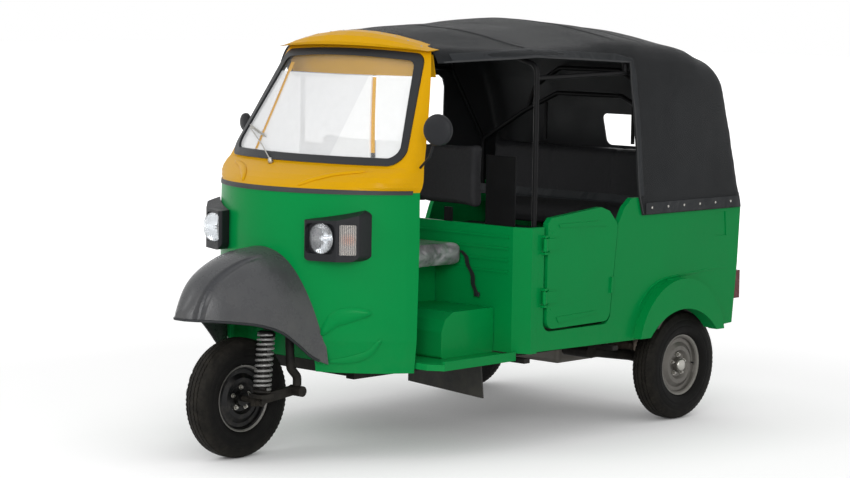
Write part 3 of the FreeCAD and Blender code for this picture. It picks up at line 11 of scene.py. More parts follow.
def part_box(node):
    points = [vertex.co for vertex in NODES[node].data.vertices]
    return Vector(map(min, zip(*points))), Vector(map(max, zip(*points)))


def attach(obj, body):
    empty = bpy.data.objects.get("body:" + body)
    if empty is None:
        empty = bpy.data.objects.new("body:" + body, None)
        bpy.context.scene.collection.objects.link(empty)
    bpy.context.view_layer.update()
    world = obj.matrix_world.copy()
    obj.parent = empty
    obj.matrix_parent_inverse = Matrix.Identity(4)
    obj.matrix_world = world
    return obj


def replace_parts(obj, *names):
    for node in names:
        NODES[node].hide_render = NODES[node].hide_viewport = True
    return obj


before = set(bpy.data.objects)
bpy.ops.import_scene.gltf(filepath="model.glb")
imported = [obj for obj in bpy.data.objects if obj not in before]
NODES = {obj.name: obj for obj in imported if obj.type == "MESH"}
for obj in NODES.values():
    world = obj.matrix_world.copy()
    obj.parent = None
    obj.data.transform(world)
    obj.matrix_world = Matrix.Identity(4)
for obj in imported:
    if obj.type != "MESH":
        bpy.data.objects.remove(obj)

bl_info = {
    "name": "Three-wheeled taxi dresser",
    "version": (1, 0, 0),
    "blender": (4, 5, 0),
    "location": "View3D > Sidebar > Taxi",
    "description": "Paint, cloth, rubber, lamps and trim for a soft-topped passenger three-wheeler",
    "category": "Object",
}

X, Y, Z = Vector((1, 0, 0)), Vector((0, 1, 0)), Vector((0, 0, 1))
FRONT_AXLE, REAR_AXLE = (sum(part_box(name), Vector()) / 2 for name in ("front_tyre", "rear_tyre_left"))
(_, ROOF_FRONT, HEM), (ROOF_HALF, REAR_FACE, CROWN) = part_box("soft_roof")
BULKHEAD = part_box("bulkhead")[0].y + 0.005


def tone(red, green, blue):
    """Linear colour from the 0 to 255 values seen on a screen."""
    return tuple(((part / 255 + 0.055) / 1.055) ** 2.4 if part > 10 else part / 255 / 12.92
                 for part in (red, green, blue))


# Sizes and colours that a user would change
class FinishSettings(PropertyGroup):
    """Colours of the vehicle."""
    green: FloatVectorProperty(name="Body green", description="Enamel of the lower body", subtype="COLOR",
                               default=tone(3, 143, 70), min=0, max=1)
    yellow: FloatVectorProperty(name="Cab yellow", description="Enamel of the upper cab", subtype="COLOR",
                                default=tone(222, 166, 10), min=0, max=1)
    guard: FloatVectorProperty(name="Guard grey", description="Paint of the nose guard", subtype="COLOR",
                               default=tone(78, 79, 81), min=0, max=1)
    canvas: FloatVectorProperty(name="Canvas", description="Outside of the soft roof", subtype="COLOR",
                                default=tone(44, 46, 48), min=0, max=1)
    lining: FloatVectorProperty(name="Lining", description="Inside of the soft roof", subtype="COLOR",
                                default=tone(84, 79, 71), min=0, max=1)
    rubber: FloatVectorProperty(name="Rubber", description="Tyres", subtype="COLOR", default=tone(17, 17, 17),
                                min=0, max=1)
    seat: FloatVectorProperty(name="Seat vinyl", description="Cover of the driver's cushion", subtype="COLOR",
                              default=tone(68, 68, 71), min=0, max=1)


class TrimSettings(PropertyGroup):
    """Sizes of the small pieces."""
    tread_blocks: IntProperty(name="Tread blocks", description="Blocks round one tyre", default=72, min=24, max=120)
    groove_depth: FloatProperty(name="Groove depth", description="Depth of the tread grooves", default=0.006,
                                unit="LENGTH")
    coil_turns: FloatProperty(name="Spring turns", description="Turns of the front spring", default=11.0)
    wire: FloatProperty(name="Spring wire", description="Radius of the spring's wire", default=0.0058, unit="LENGTH")
    stud: FloatProperty(name="Snap stud", description="Radius of a snap stud on the hem", default=0.0055,
                        unit="LENGTH")
    stud_pitch: FloatProperty(name="Stud pitch", description="Distance between snap studs", default=0.115,
                              unit="LENGTH")
    hem_band: FloatProperty(name="Hem band", description="Height of the doubled hem", default=0.052, unit="LENGTH")
    belt_band: FloatProperty(name="Belt strip", description="Height of the black strip round the cab",
                             default=0.017, unit="LENGTH")


class ClothSettings(PropertyGroup):
    """How the cloth and the padding lie."""
    sag: FloatProperty(name="Sag", description="Drop of the canvas between two bows", default=0.007, unit="LENGTH")
    wrinkle: FloatProperty(name="Wrinkle", description="Height of the canvas wrinkles", default=0.0035, unit="LENGTH")
    canvas_wall: FloatProperty(name="Canvas wall", description="Thickness of canvas and lining", default=0.005,
                               unit="LENGTH")
    pressure: FloatProperty(name="Pressure", description="Air pressure that swells a cushion", default=4.0)
    swell: FloatProperty(name="Swell", description="Farthest that a point of a cushion moves", default=0.014,
                         unit="LENGTH")


def finish():
    """Colours chosen in the panel."""
    return bpy.context.scene.taxi_finish


def trim():
    """Sizes of the small pieces chosen in the panel."""
    return bpy.context.scene.taxi_trim


def cloth():
    """How the cloth lies, as chosen in the panel."""
    return bpy.context.scene.taxi_cloth


# Mesh helpers
# Distance under which points become one, and places well outside the vehicle from which rays are cast
MERGE = 2e-5
AHEAD, BEHIND, BESIDE = -3.0, 2.2, 1.5


def settle(name, bm, look, body="body", sharp=38, normals=True):
    """Turns a bmesh into a named piece with one finish, that rides on a body where one is named."""
    bmesh.ops.remove_doubles(bm, verts=bm.verts, dist=MERGE)
    if normals:
        bmesh.ops.recalc_face_normals(bm, faces=bm.faces)
    mesh = bpy.data.meshes.new(name)
    bm.to_mesh(mesh)
    bm.free()
    mesh.shade_smooth()
    mesh.set_sharp_from_angle(angle=math.radians(sharp))
    mesh.materials.append(LOOKS[look])
    piece = bpy.data.objects.new(name, mesh)
    bpy.context.scene.collection.objects.link(piece)
    if body:
        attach(piece, body)
    return piece


def merged_copy(node_name):
    """Copy of a solid's mesh with its loose triangles merged."""
    bm = bmesh.new()
    bm.from_mesh(NODES[node_name].data)
    bmesh.ops.remove_doubles(bm, verts=bm.verts, dist=1e-5)
    return bm


def applied(piece):
    """Bakes the modifiers of a piece into its mesh."""
    mesh = bpy.data.meshes.new_from_object(piece.evaluated_get(bpy.context.evaluated_depsgraph_get()))
    piece.modifiers.clear()
    piece.data = mesh
    return piece


def evened(piece, voxel):
    """Remeshes a closed piece with faces of one size."""
    remesh = piece.modifiers.new("even", "REMESH")
    remesh.mode = "VOXEL"
    remesh.voxel_size = voxel
    return applied(piece)


def cut_piece(piece, cutters, operation="DIFFERENCE"):
    """Boolean operation with each cutter in turn; the cutters are removed."""
    for cutter in cutters:
        cut = piece.modifiers.new("cut", "BOOLEAN")
        cut.operation = operation
        cut.solver = "MANIFOLD"
        cut.object = cutter
    applied(piece)
    for cutter in cutters:
        bpy.data.objects.remove(cutter)


def turned(normal, at):
    """Matrix that puts local +Z along a normal at a point."""
    return Matrix.Translation(at) @ Vector(normal).to_track_quat("Z", "Y").to_matrix().to_4x4()


def bevelled(bm, edges, offset, segments=2):
    """Rounds some edges."""
    bmesh.ops.bevel(bm, geom=edges, offset=offset, affect="EDGES", segments=segments, profile=0.5, material=-1)


def add_block(bm, low, high, edge=0.0):
    """Box between two corners, with its edges rounded."""
    low, high = Vector(low), Vector(high)
    made = bmesh.ops.create_cube(bm, size=1.0, matrix=Matrix.Translation((low + high) / 2)
                                 @ Matrix.Diagonal((*(high - low), 1)))["verts"]
    if edge:
        bevelled(bm, list({e for v in made for e in v.link_edges}), edge)


def add_disc(bm, at, normal, radius, height, sides=24, top=None, edge=0.0):
    """Round or many-sided plate that stands on a point along a normal."""
    normal = Vector(normal).normalized()
    made = bmesh.ops.create_cone(bm, cap_ends=True, segments=sides, radius1=radius,
                                 radius2=radius if top is None else top, depth=height,
                                 matrix=turned(normal, Vector(at) + normal * height / 2))["verts"]
    if edge:
        bevelled(bm, [e for e in {e for v in made for e in v.link_edges}
                      if len(e.link_faces) == 2 and e.calc_face_angle(0) > 0.9], edge)


def add_dome(bm, at, normal, radius, height, sides=12):
    """Shallow dome, its lower half sunk in the surface."""
    bmesh.ops.create_uvsphere(bm, u_segments=sides, v_segments=6, radius=1.0,
                              matrix=turned(normal, Vector(at)) @ Matrix.Diagonal((radius, radius, height, 1)))


def add_spun(bm, profile, centre, axis, steps=64):
    """Turned shape. The profile is pairs of radius and distance along the axis, closed by itself if it ends
    where it starts."""
    centre, axis = Vector(centre), Vector(axis).normalized()
    side = axis.orthogonal().normalized()
    verts = [bm.verts.new(centre + side * radius + axis * along) for radius, along in profile]
    edges = [bm.edges.new(pair) for pair in zip(verts, verts[1:])]
    bmesh.ops.spin(bm, geom=verts + edges, cent=centre, axis=axis, angle=2 * math.pi, steps=steps, use_merge=True)


def add_rod(bm, points, radius, smooth=False, closed=False, round_sides=3):
    """Round bar or cable along points, with closed ends."""
    curve = bpy.data.curves.new("route", "CURVE")
    curve.dimensions = "3D"
    curve.bevel_depth = radius
    curve.bevel_resolution = round_sides
    curve.resolution_u = 6
    curve.use_fill_caps = not closed
    spline = curve.splines.new("NURBS" if smooth else "POLY")
    spline.points.add(len(points) - 1)
    for point, place in zip(spline.points, points):
        point.co = (*place, 1)
    if smooth:
        spline.order_u = 3
        spline.use_endpoint_u = not closed
    spline.use_cyclic_u = closed
    carrier = bpy.data.objects.new("route", curve)
    mesh = bpy.data.meshes.new_from_object(carrier)
    bm.from_mesh(mesh)
    bpy.data.objects.remove(carrier)
    bpy.data.curves.remove(curve)
    bpy.data.meshes.remove(mesh)


def rounded_loop(low, high, corner, steps=4, pitch=None):
    """Pairs of numbers round a rectangle with rounded corners, straight runs parted at a pitch."""
    loop = []
    middles = ((high[0] - corner, high[1] - corner, 0), (low[0] + corner, high[1] - corner, 90),
               (low[0] + corner, low[1] + corner, 180), (high[0] - corner, low[1] + corner, 270))
    for across, up, start in middles:
        for step in range(steps + 1):
            angle = math.radians(start + 90 * step / steps)
            spot = (across + corner * math.cos(angle), up + corner * math.sin(angle))
            if loop and pitch:
                before = loop[-1]
                parts = int(math.dist(before, spot) / pitch)
                loop += [tuple(a + (b - a) * k / (parts + 1) for a, b in zip(before, spot))
                         for k in range(1, parts + 1)]
            loop.append(spot)
    return loop


def mirror_over(bm):
    """Adds the twin of everything on the other side of the centre plane."""
    bmesh.ops.mirror(bm, geom=bm.verts[:] + bm.edges[:] + bm.faces[:], matrix=Matrix.Identity(4),
                     merge_dist=-1, axis="X")


def skin_of(*objects):
    """Search tree over the surfaces of some objects."""
    bm = bmesh.new()
    for item in objects:
        bm.from_mesh(item.data)
    tree = BVHTree.FromBMesh(bm)
    bm.free()
    return tree


def touch(tree, origin, direction, lift=0.0):
    """Where a ray meets a surface, lifted off it, and the surface's normal against the ray."""
    place, normal, _, _ = tree.ray_cast(Vector(origin), Vector(direction).normalized())
    if place is None:
        raise RuntimeError("a ray from %s found no surface" % [round(v, 3) for v in origin])
    if normal.dot(Vector(direction)) > 0:
        normal = -normal
    return place + normal * lift, normal


def add_ribbon(bm, rows, wall):
    """Strip through rows of points, thickened outwards."""
    grid = [[bm.verts.new(point) for point in row] for row in rows]
    faces = [bm.faces.new((row[k], row[k + 1], after[k + 1], after[k]))
             for row, after in zip(grid, grid[1:]) for k in range(len(row) - 1)]
    bmesh.ops.recalc_face_normals(bm, faces=faces)
    bmesh.ops.solidify(bm, geom=faces, thickness=wall)


def smooth_values(stations, count):
    """Rows of numbers spaced evenly by index along a smooth curve through the stations."""
    rows = []
    last = len(stations) - 1
    for step in range(count):
        at = step / (count - 1) * last
        index = min(int(at), last - 1)
        share = at - index
        a, b, c, d = (stations[max(0, min(last, index + k))] for k in (-1, 0, 1, 2))
        rows.append([0.5 * (2 * q + (r - p) * share + (2 * p - 5 * q + 4 * r - s) * share ** 2
                            + (3 * q - p - 3 * r + s) * share ** 3) for p, q, r, s in zip(a, b, c, d)])
    return rows


def smooth_line(stations, count):
    """Points along a smooth curve through the stations."""
    return [Vector(row) for row in smooth_values(stations, count)]


def shares(count):
    """Even steps from nought to one."""
    return [k / count for k in range(count + 1)]


# Shader nodes
NODE_OPTIONS = ("operation", "data_type", "blend_type", "feature", "interpolation_type", "uv_map")
DUST = tone(150, 140, 124)


def feed(socket, amount):
    """Links a socket to another, or sets its value."""
    if isinstance(amount, NodeSocket):
        socket.id_data.links.new(amount, socket)
    else:
        socket.default_value = amount


def node(tree, kind, **values):
    """Node with its options set, and its sockets set or linked."""
    made = tree.nodes.new("ShaderNode" + kind)
    for label, amount in values.items():
        if label in NODE_OPTIONS:
            setattr(made, label, amount)
        else:
            feed(made.inputs[int(label[2:]) if label[2:].isdigit() else label.replace("_", " ")], amount)
    return made


def home(*values):
    """Node tree of the first socket among some values."""
    return next(value.id_data for value in values if isinstance(value, NodeSocket))


def maths(operation, first, second=0.0):
    """Math node on two values, in the tree of the one that is a socket."""
    return node(home(first, second), "Math", operation=operation, in0=first, in1=second).outputs[0]


def plus(first, second):
    """Sum of two values."""
    return maths("ADD", first, second)


def minus(first, second):
    """Difference of two values."""
    return maths("SUBTRACT", first, second)


def times(product, *others):
    """Product of any number of values."""
    for other in others:
        product = maths("MULTIPLY", product, other)
    return product


def sine(value, rate):
    """Sine of a value times a rate."""
    return maths("SINE", times(value, rate))


def spread(value, low, high, bottom, top, **options):
    """Value carried from one range to another, held at its ends."""
    return node(value.id_data, "MapRange", Value=value, From_Min=low, From_Max=high, To_Min=bottom, To_Max=top,
                **options).outputs[0]


def mixed(share, first, second, blend="MIX"):
    """Two colours mixed by a share."""
    made = node(home(share, first, second), "Mix", data_type="RGBA", blend_type=blend, in0=share)
    for socket, colour in zip(made.inputs[6:8], (first, second)):
        feed(socket, colour if isinstance(colour, NodeSocket) else (*colour[:3], 1.0))
    return made.outputs[2]


def axes(place):
    """The three parts of a place."""
    return node(place.id_data, "SeparateXYZ", Vector=place).outputs[:]


def cloud(place, scale, detail=2.0, **more):
    """Value noise."""
    return node(place.id_data, "TexNoise", Vector=place, Scale=scale, Detail=detail, **more).outputs[0]


def light_rays(tree):
    """What kind of ray is being shaded."""
    return node(tree, "LightPath").outputs


# Shader node groups
def new_group(name, inputs, outputs):
    """Shader node group: the outputs of its place and other named inputs, and its own outputs' sockets."""
    tree = bpy.data.node_groups.new(name, "ShaderNodeTree")
    for label, amount in {"Place": (0, 0, 0), **inputs}.items():
        kind = "Float" if isinstance(amount, float) else {3: "Vector", 4: "Color"}[len(amount)]
        socket = tree.interface.new_socket(name=label, in_out="INPUT", socket_type="NodeSocket" + kind)
        socket.default_value = amount
    for label in outputs:
        tree.interface.new_socket(name=label, in_out="OUTPUT",
                                  socket_type="NodeSocketColor" if label == "Colour" else "NodeSocketFloat")
    return tree.nodes.new("NodeGroupInput").outputs, tree.nodes.new("NodeGroupOutput").inputs


def build_mottle():
    """Slow change of tone and gloss, as on sprayed or weathered surfaces."""
    give, take = new_group("Mottle", {"Colour": (0.5, 0.5, 0.5, 1), "Scale": 5.0, "Change": 0.1, "Gloss": 0.3},
                           ("Colour", "Roughness"))
    slow = cloud(give["Place"], give["Scale"], 5.0, Roughness=0.6)
    swing = minus(plus(times(slow, 0.75), times(cloud(give["Place"], 90.0), 0.25)), 0.5)
    factor = plus(1.0, times(swing, times(give["Change"], 4.0)))
    grey = node(factor.id_data, "CombineColor", Red=factor, Green=factor, Blue=factor).outputs[0]
    feed(take["Colour"], mixed(1.0, give["Colour"], grey, "MULTIPLY"))
    gloss = plus(give["Gloss"], times(swing, 0.35))
    feed(take["Roughness"], node(gloss.id_data, "Clamp", Value=gloss, Min=0.04, Max=1.0).outputs[0])


def build_grain():
    """Height of a fine moulded or sprayed grain over a softer orange peel."""
    give, take = new_group("Grain", {"Scale": 400.0, "Peel": 0.3}, ("Height",))
    feed(take["Height"], plus(cloud(give["Place"], give["Scale"]),
                              times(cloud(give["Place"], 38.0, 1.0), give["Peel"])))


def build_dust():
    """Mask of road dust: strong low down, thin higher up, broken by noise."""
    give, take = new_group("Road Dust", {"Top": 0.6, "Amount": 0.4}, ("Mask",))
    low = spread(axes(give["Place"])[2], 0.05, give["Top"], 1.0, 0.0)
    broken = spread(cloud(give["Place"], 14.0, 6.0, Roughness=0.7), 0.35, 0.75, 0.15, 1.0)
    feed(take["Mask"], times(low, broken, give["Amount"]))


def build_weave():
    """Plain weave over a flat map: height of the threads."""
    give, take = new_group("Weave", {"Threads": 700.0}, ("Height",))
    feed(take["Height"], times(*(sine(part, give["Threads"]) for part in axes(give["Place"])[:2])))


def build_hide():
    """Height of vinyl or leather grain: small pebbles between creases."""
    give, take = new_group("Hide Grain", {"Scale": 260.0}, ("Height",))
    tree, place = give["Place"].id_data, give["Place"]
    warp = node(tree, "TexNoise", Vector=place, Scale=60.0, Detail=2.0).outputs[1]
    moved = node(tree, "VectorMath", operation="MULTIPLY_ADD", in0=warp, in1=(0.01, 0.01, 0.01), in2=place).outputs[0]
    cell = node(tree, "TexVoronoi", feature="DISTANCE_TO_EDGE", Vector=moved, Scale=give["Scale"]).outputs[0]
    feed(take["Height"], spread(cell, 0.0, 0.25, 0.0, 1.0))


def build_ring():
    """Mask that is one beyond a radius from an axle."""
    give, take = new_group("Ring Mask", {"Axle": (0, 0, 0), "Radius": 0.1}, ("Mask", "Distance"))
    tree = give["Place"].id_data
    away = node(tree, "VectorMath", operation="SUBTRACT", in0=give["Place"], in1=give["Axle"]).outputs[0]
    flat = node(tree, "VectorMath", operation="MULTIPLY", in0=away, in1=(0, 1, 1)).outputs[0]
    far = node(tree, "VectorMath", operation="LENGTH", in0=flat).outputs[1]
    feed(take["Mask"], maths("GREATER_THAN", far, give["Radius"]))
    feed(take["Distance"], far)


GROUPS = (build_mottle, build_grain, build_dust, build_weave, build_hide, build_ring)


def grouped(name, place, **values):
    """Outputs of a shader node group placed in a material."""
    made = place.id_data.nodes.new("ShaderNodeGroup")
    made.node_tree = bpy.data.node_groups[name]
    for label, amount in {"Place": place, **values}.items():
        feed(made.inputs[label], amount)
    return made.outputs


def mottled(place, colour, scale, change, gloss):
    """Colour and roughness of a mottled surface."""
    return grouped("Mottle", place, Colour=(*colour[:3], 1), Scale=scale, Change=change, Gloss=gloss)[:]


def grain_height(place, scale, peel):
    """Height of the fine grain."""
    return grouped("Grain", place, Scale=scale, Peel=peel)["Height"]


def dust_mask(place, top, amount):
    """Mask of the road dust below a height."""
    return grouped("Road Dust", place, Top=top, Amount=amount)["Mask"]


# Materials
def new_material(name, **plain):
    """Material with a Principled shader and its fixed values, and the place on a piece."""
    made = bpy.data.materials.new(name)
    made.use_nodes = True
    for label, amount in plain.items():
        made.node_tree.nodes["Principled BSDF"].inputs[label.replace("_", " ")].default_value = amount
    return made, node(made.node_tree, "TexCoord").outputs["Object"]


def dressed(made, colour, rough, height, depth, cover=None):
    """Material with its colour, roughness, bump and cover linked, where they are given."""
    normal = node(made.node_tree, "Bump", Height=height, Distance=depth, Strength=1.0).outputs[0]
    shader = made.node_tree.nodes["Principled BSDF"]
    for label, value in (("Base Color", colour), ("Roughness", rough), ("Normal", normal), ("Alpha", cover)):
        if value is not None:
            feed(shader.inputs[label], value)
    return made


def coated(name, colour, gloss, change, scale, grain=400.0, depth=0.0002, peel=0.3, dust=0.0, dust_top=0.7, **plain):
    """General painted, moulded or cast surface."""
    made, place = new_material(name, **plain)
    shade, rough = mottled(place, colour, scale, change, gloss)
    if dust:
        mask = dust_mask(place, dust_top, dust)
        shade, rough = mixed(mask, shade, DUST), plus(rough, times(mask, 0.4))
    return dressed(made, shade, rough, grain_height(place, grain, peel), depth)


def guard_paint(name, colour):
    """Paint of the nose guard, with a pressed groove on each side of its crown, each groove darkened by painted shade.
    """
    made, place = new_material(name, Specular_IOR_Level=0.28)
    shade, rough = mottled(place, colour, 7.0, 0.14, 0.28)
    across, along, _ = axes(place)
    line = spread(along, -1.36, -1.05, 0.066, 0.094)
    away = maths("ABSOLUTE", minus(maths("ABSOLUTE", across), line))
    dip = times(spread(away, 0.002, 0.017, 1.0, 0.0, interpolation_type="SMOOTHSTEP"),
                times(spread(along, -1.372, -1.345, 0.0, 1.0), spread(along, -1.10, -1.02, 1.0, 0.0)))
    # Painted shade: the groove mask also darkens the paint toward a blue-grey, standing for the shade that falls in the
    # grooves
    shade = mixed(times(dip, 0.55), shade, tone(44, 46, 52))
    return dressed(made, mixed(dust_mask(place, 0.8, 0.2), shade, DUST), rough,
                   minus(times(grain_height(place, 260.0, 1.6), 0.05), dip), 0.010)


def rim_paint(name, axle, inner, outer):
    """Wheel paint whose outer flange has another colour."""
    made, place = new_material(name, Metallic=0.55)
    shade, rough = mottled(place, inner, 16.0, 0.12, 0.36)
    ring = grouped("Ring Mask", place, Axle=tuple(axle), Radius=0.1275)["Mask"]
    grime = spread(cloud(place, 24.0, 6.0, Roughness=0.7), 0.5, 0.8, 0.0, 0.6)
    return dressed(made, mixed(grime, mixed(ring, shade, outer), tone(70, 66, 60)), rough,
                   grain_height(place, 300.0, 1.0), 0.0003)


def tyre_rubber(name, axle):
    """Tyre: dusty tread, darker walls with fine moulded rings."""
    made, place = new_material(name, Specular_IOR_Level=0.08)
    shade, rough = mottled(place, finish().rubber, 12.0, 0.16, 0.6)
    radius = grouped("Ring Mask", place, Axle=tuple(axle))["Distance"]
    dust = times(spread(cloud(place, 30.0, 6.0, Roughness=0.7), 0.35, 0.7, 0.25, 1.0),
                 spread(radius, 0.19, 0.246, 0.03, 0.20))
    return dressed(made, mixed(dust, shade, tone(104, 98, 88)), rough,
                   plus(times(sine(radius, 1400.0), 0.35), grain_height(place, 500.0, 0.2)), 0.0004)


def canvas(name, colour, gloss, change=0.14):
    """Coated canvas, its weave on the roof's own map."""
    made, place = new_material(name, Specular_IOR_Level=0.10)
    shade, rough = mottled(place, colour, 3.2, change, gloss)
    faded = mixed(spread(cloud(place, 1.3, 3.0), 0.42, 0.68, 0.0, 0.3), shade, tone(70, 72, 75))
    weave = grouped("Weave", node(made.node_tree, "UVMap", uv_map="cut").outputs[0], Threads=2200.0)["Height"]
    crease = cloud(place, 5.0, 3.0, Distortion=0.8)
    return dressed(made, faded, rough, plus(times(weave, 0.08), crease), 0.018)


def vinyl(name, colour, gloss, film=False):
    """Seat cover of grained vinyl, with or without a clear plastic film over it, whose folds carry pale painted
    highlights.
    """
    made, place = new_material(name, Coat_Weight=0.9 if film else 0.0, Coat_Roughness=0.08, Specular_IOR_Level=0.15)
    shade, rough = mottled(place, colour, 7.0, 0.16, gloss)
    hide = grouped("Hide Grain", place, Scale=240.0)["Height"]
    if not film:
        return dressed(made, shade, rough, hide, 0.0005)
    folds = cloud(place, 7.0, 4.0, Roughness=0.5, Distortion=1.4)
    # Painted highlights: pale patches along the film's folds stand for light glinting on the clear film
    fold_highlights = mixed(spread(folds, 0.34, 0.64, 0.24, 0.86), shade, tone(196, 196, 198))
    return dressed(made, fold_highlights, rough, plus(times(hide, 0.05), times(folds, 2.0)), 0.006)


def light_through(tree, share=0.85, film=1.0):
    """Cover of a clear surface that lets a share of the lamps' light pass."""
    return times(spread(light_rays(tree)["Is Shadow Ray"], 0.0, 1.0, 1.0, 1.0 - share), film)


def lens_glass(name):
    """Slightly milky glass with flutes."""
    made, place = new_material(name, Transmission_Weight=0.88, IOR=1.45)
    shade, _ = mottled(place, tone(246, 248, 250), 2.0, 0.01, 0.06)
    rough = spread(cloud(place, 3.0, 3.0), 0.4, 0.8, 0.06, 0.11)
    return dressed(made, shade, rough, sine(axes(place)[0], 500.0), 0.0003, light_through(made.node_tree))


# Two strips seen through the windscreen: across and up at the foot, the same at the head, and half the width
SCREEN_STRIPS = (((0.355, 1.246), (0.208, 1.545), 0.011), ((-0.302, 1.229), (-0.335, 1.590), 0.013))


def screen_glass(name):
    """Windscreen: glass under a pale film of painted reflection, clear along its head and over two strips, the film
    painted brighter past a slanted line.
    """
    made, place = new_material(name, Roughness=0.05)
    across, _, up = axes(place)
    # Painted reflection: past a slanted line the film is painted a brighter white
    side = spread(minus(across, times(up, 0.04)), 0.117, 0.121, 0.0, 1.0)
    clear_zone = spread(up, 1.545, 1.552, 0.0, 1.0)
    for low, high, half in SCREEN_STRIPS:
        slope = (high[0] - low[0]) / (high[1] - low[1])
        away = maths("ABSOLUTE", minus(across, plus(times(minus(up, low[1]), slope), low[0])))
        clear_zone = maths("MAXIMUM", clear_zone, spread(away, half - 0.003, half + 0.003, 1.0, 0.0))
    # Painted reflection: outside the clear zones a pale film, its cover set by noise, stands for the bright reflection
    # on the windscreen. The same noise gives the glass a slight bump
    smear_and_reflection = cloud(place, 4.0, 4.0)
    painted_reflection = times(spread(smear_and_reflection, 0.35, 0.7, 0.66, 0.78), minus(1.0, clear_zone))
    return dressed(made, mixed(side, tone(240, 241, 242), tone(252, 253, 253)), None, smear_and_reflection, 0.0004,
                   light_through(made.node_tree, 0.8, maths("MAXIMUM", painted_reflection, 0.07)))


def flasher_plate(name):
    """Pale fluted reflector of a corner flasher, with a warm bulb spot in its middle."""
    made, place = new_material(name, Metallic=0.25)
    shade, rough = mottled(place, tone(178, 170, 160), 24.0, 0.16, 0.22)
    across, _, up = axes(place)
    aside, level = minus(maths("ABSOLUTE", across), 0.416), minus(up, 0.905)
    away = maths("POWER", plus(times(aside, aside), times(level, level)), 0.5)
    return dressed(made, mixed(spread(away, 0.006, 0.030, 0.6, 0.0), shade, tone(196, 118, 84)), rough,
                   sine(up, 900.0), 0.0004)


def metal(name, colour, gloss):
    """Bare or plated metal with a slightly hazy gloss."""
    made, place = new_material(name, Metallic=1.0)
    return dressed(made, *mottled(place, colour, 20.0, 0.05, gloss), grain_height(place, 120.0, 0.5), 0.0001)


def ribbed_mat(name):
    """Floor mat with narrow ribs from front to back."""
    made, place = new_material(name)
    shade, rough = mottled(place, tone(44, 43, 42), 9.0, 0.2, 0.6)
    return dressed(made, mixed(dust_mask(place, 0.9, 0.5), shade, DUST), rough, sine(axes(place)[0], 420.0), 0.0012)


def seen_rays(tree):
    """One for rays that show the background: straight, mirrored or through glass."""
    rays = light_rays(tree)
    return maths("MAXIMUM", rays["Is Camera Ray"], maths("MAXIMUM", rays["Is Glossy Ray"], rays["Is Transmission Ray"]))


def floor_look(name):
    """Pale floor that shows white to the camera where nothing shades it."""
    made, place = new_material(name, Roughness=0.9, Specular_IOR_Level=0.1)
    tree = made.node_tree
    shader = tree.nodes["Principled BSDF"]
    feed(shader.inputs["Base Color"], mixed(cloud(place, 0.8), (0.60, 0.60, 0.60), (0.64, 0.64, 0.64)))
    away = node(tree, "VectorMath", operation="LENGTH", Vector=place).outputs["Value"]
    shade = maths("POWER", node(tree, "AmbientOcclusion", Distance=0.9).outputs["AO"], 0.8)
    glow = node(tree, "Emission", Strength=times(seen_rays(tree), shade, spread(away, 2.5, 8.0, 0.58, 1.0)))
    both = node(tree, "AddShader", in0=shader.outputs[0], in1=glow.outputs[0])
    feed(tree.nodes["Material Output"].inputs["Surface"], both.outputs[0])
    return made


LOOKS = {}


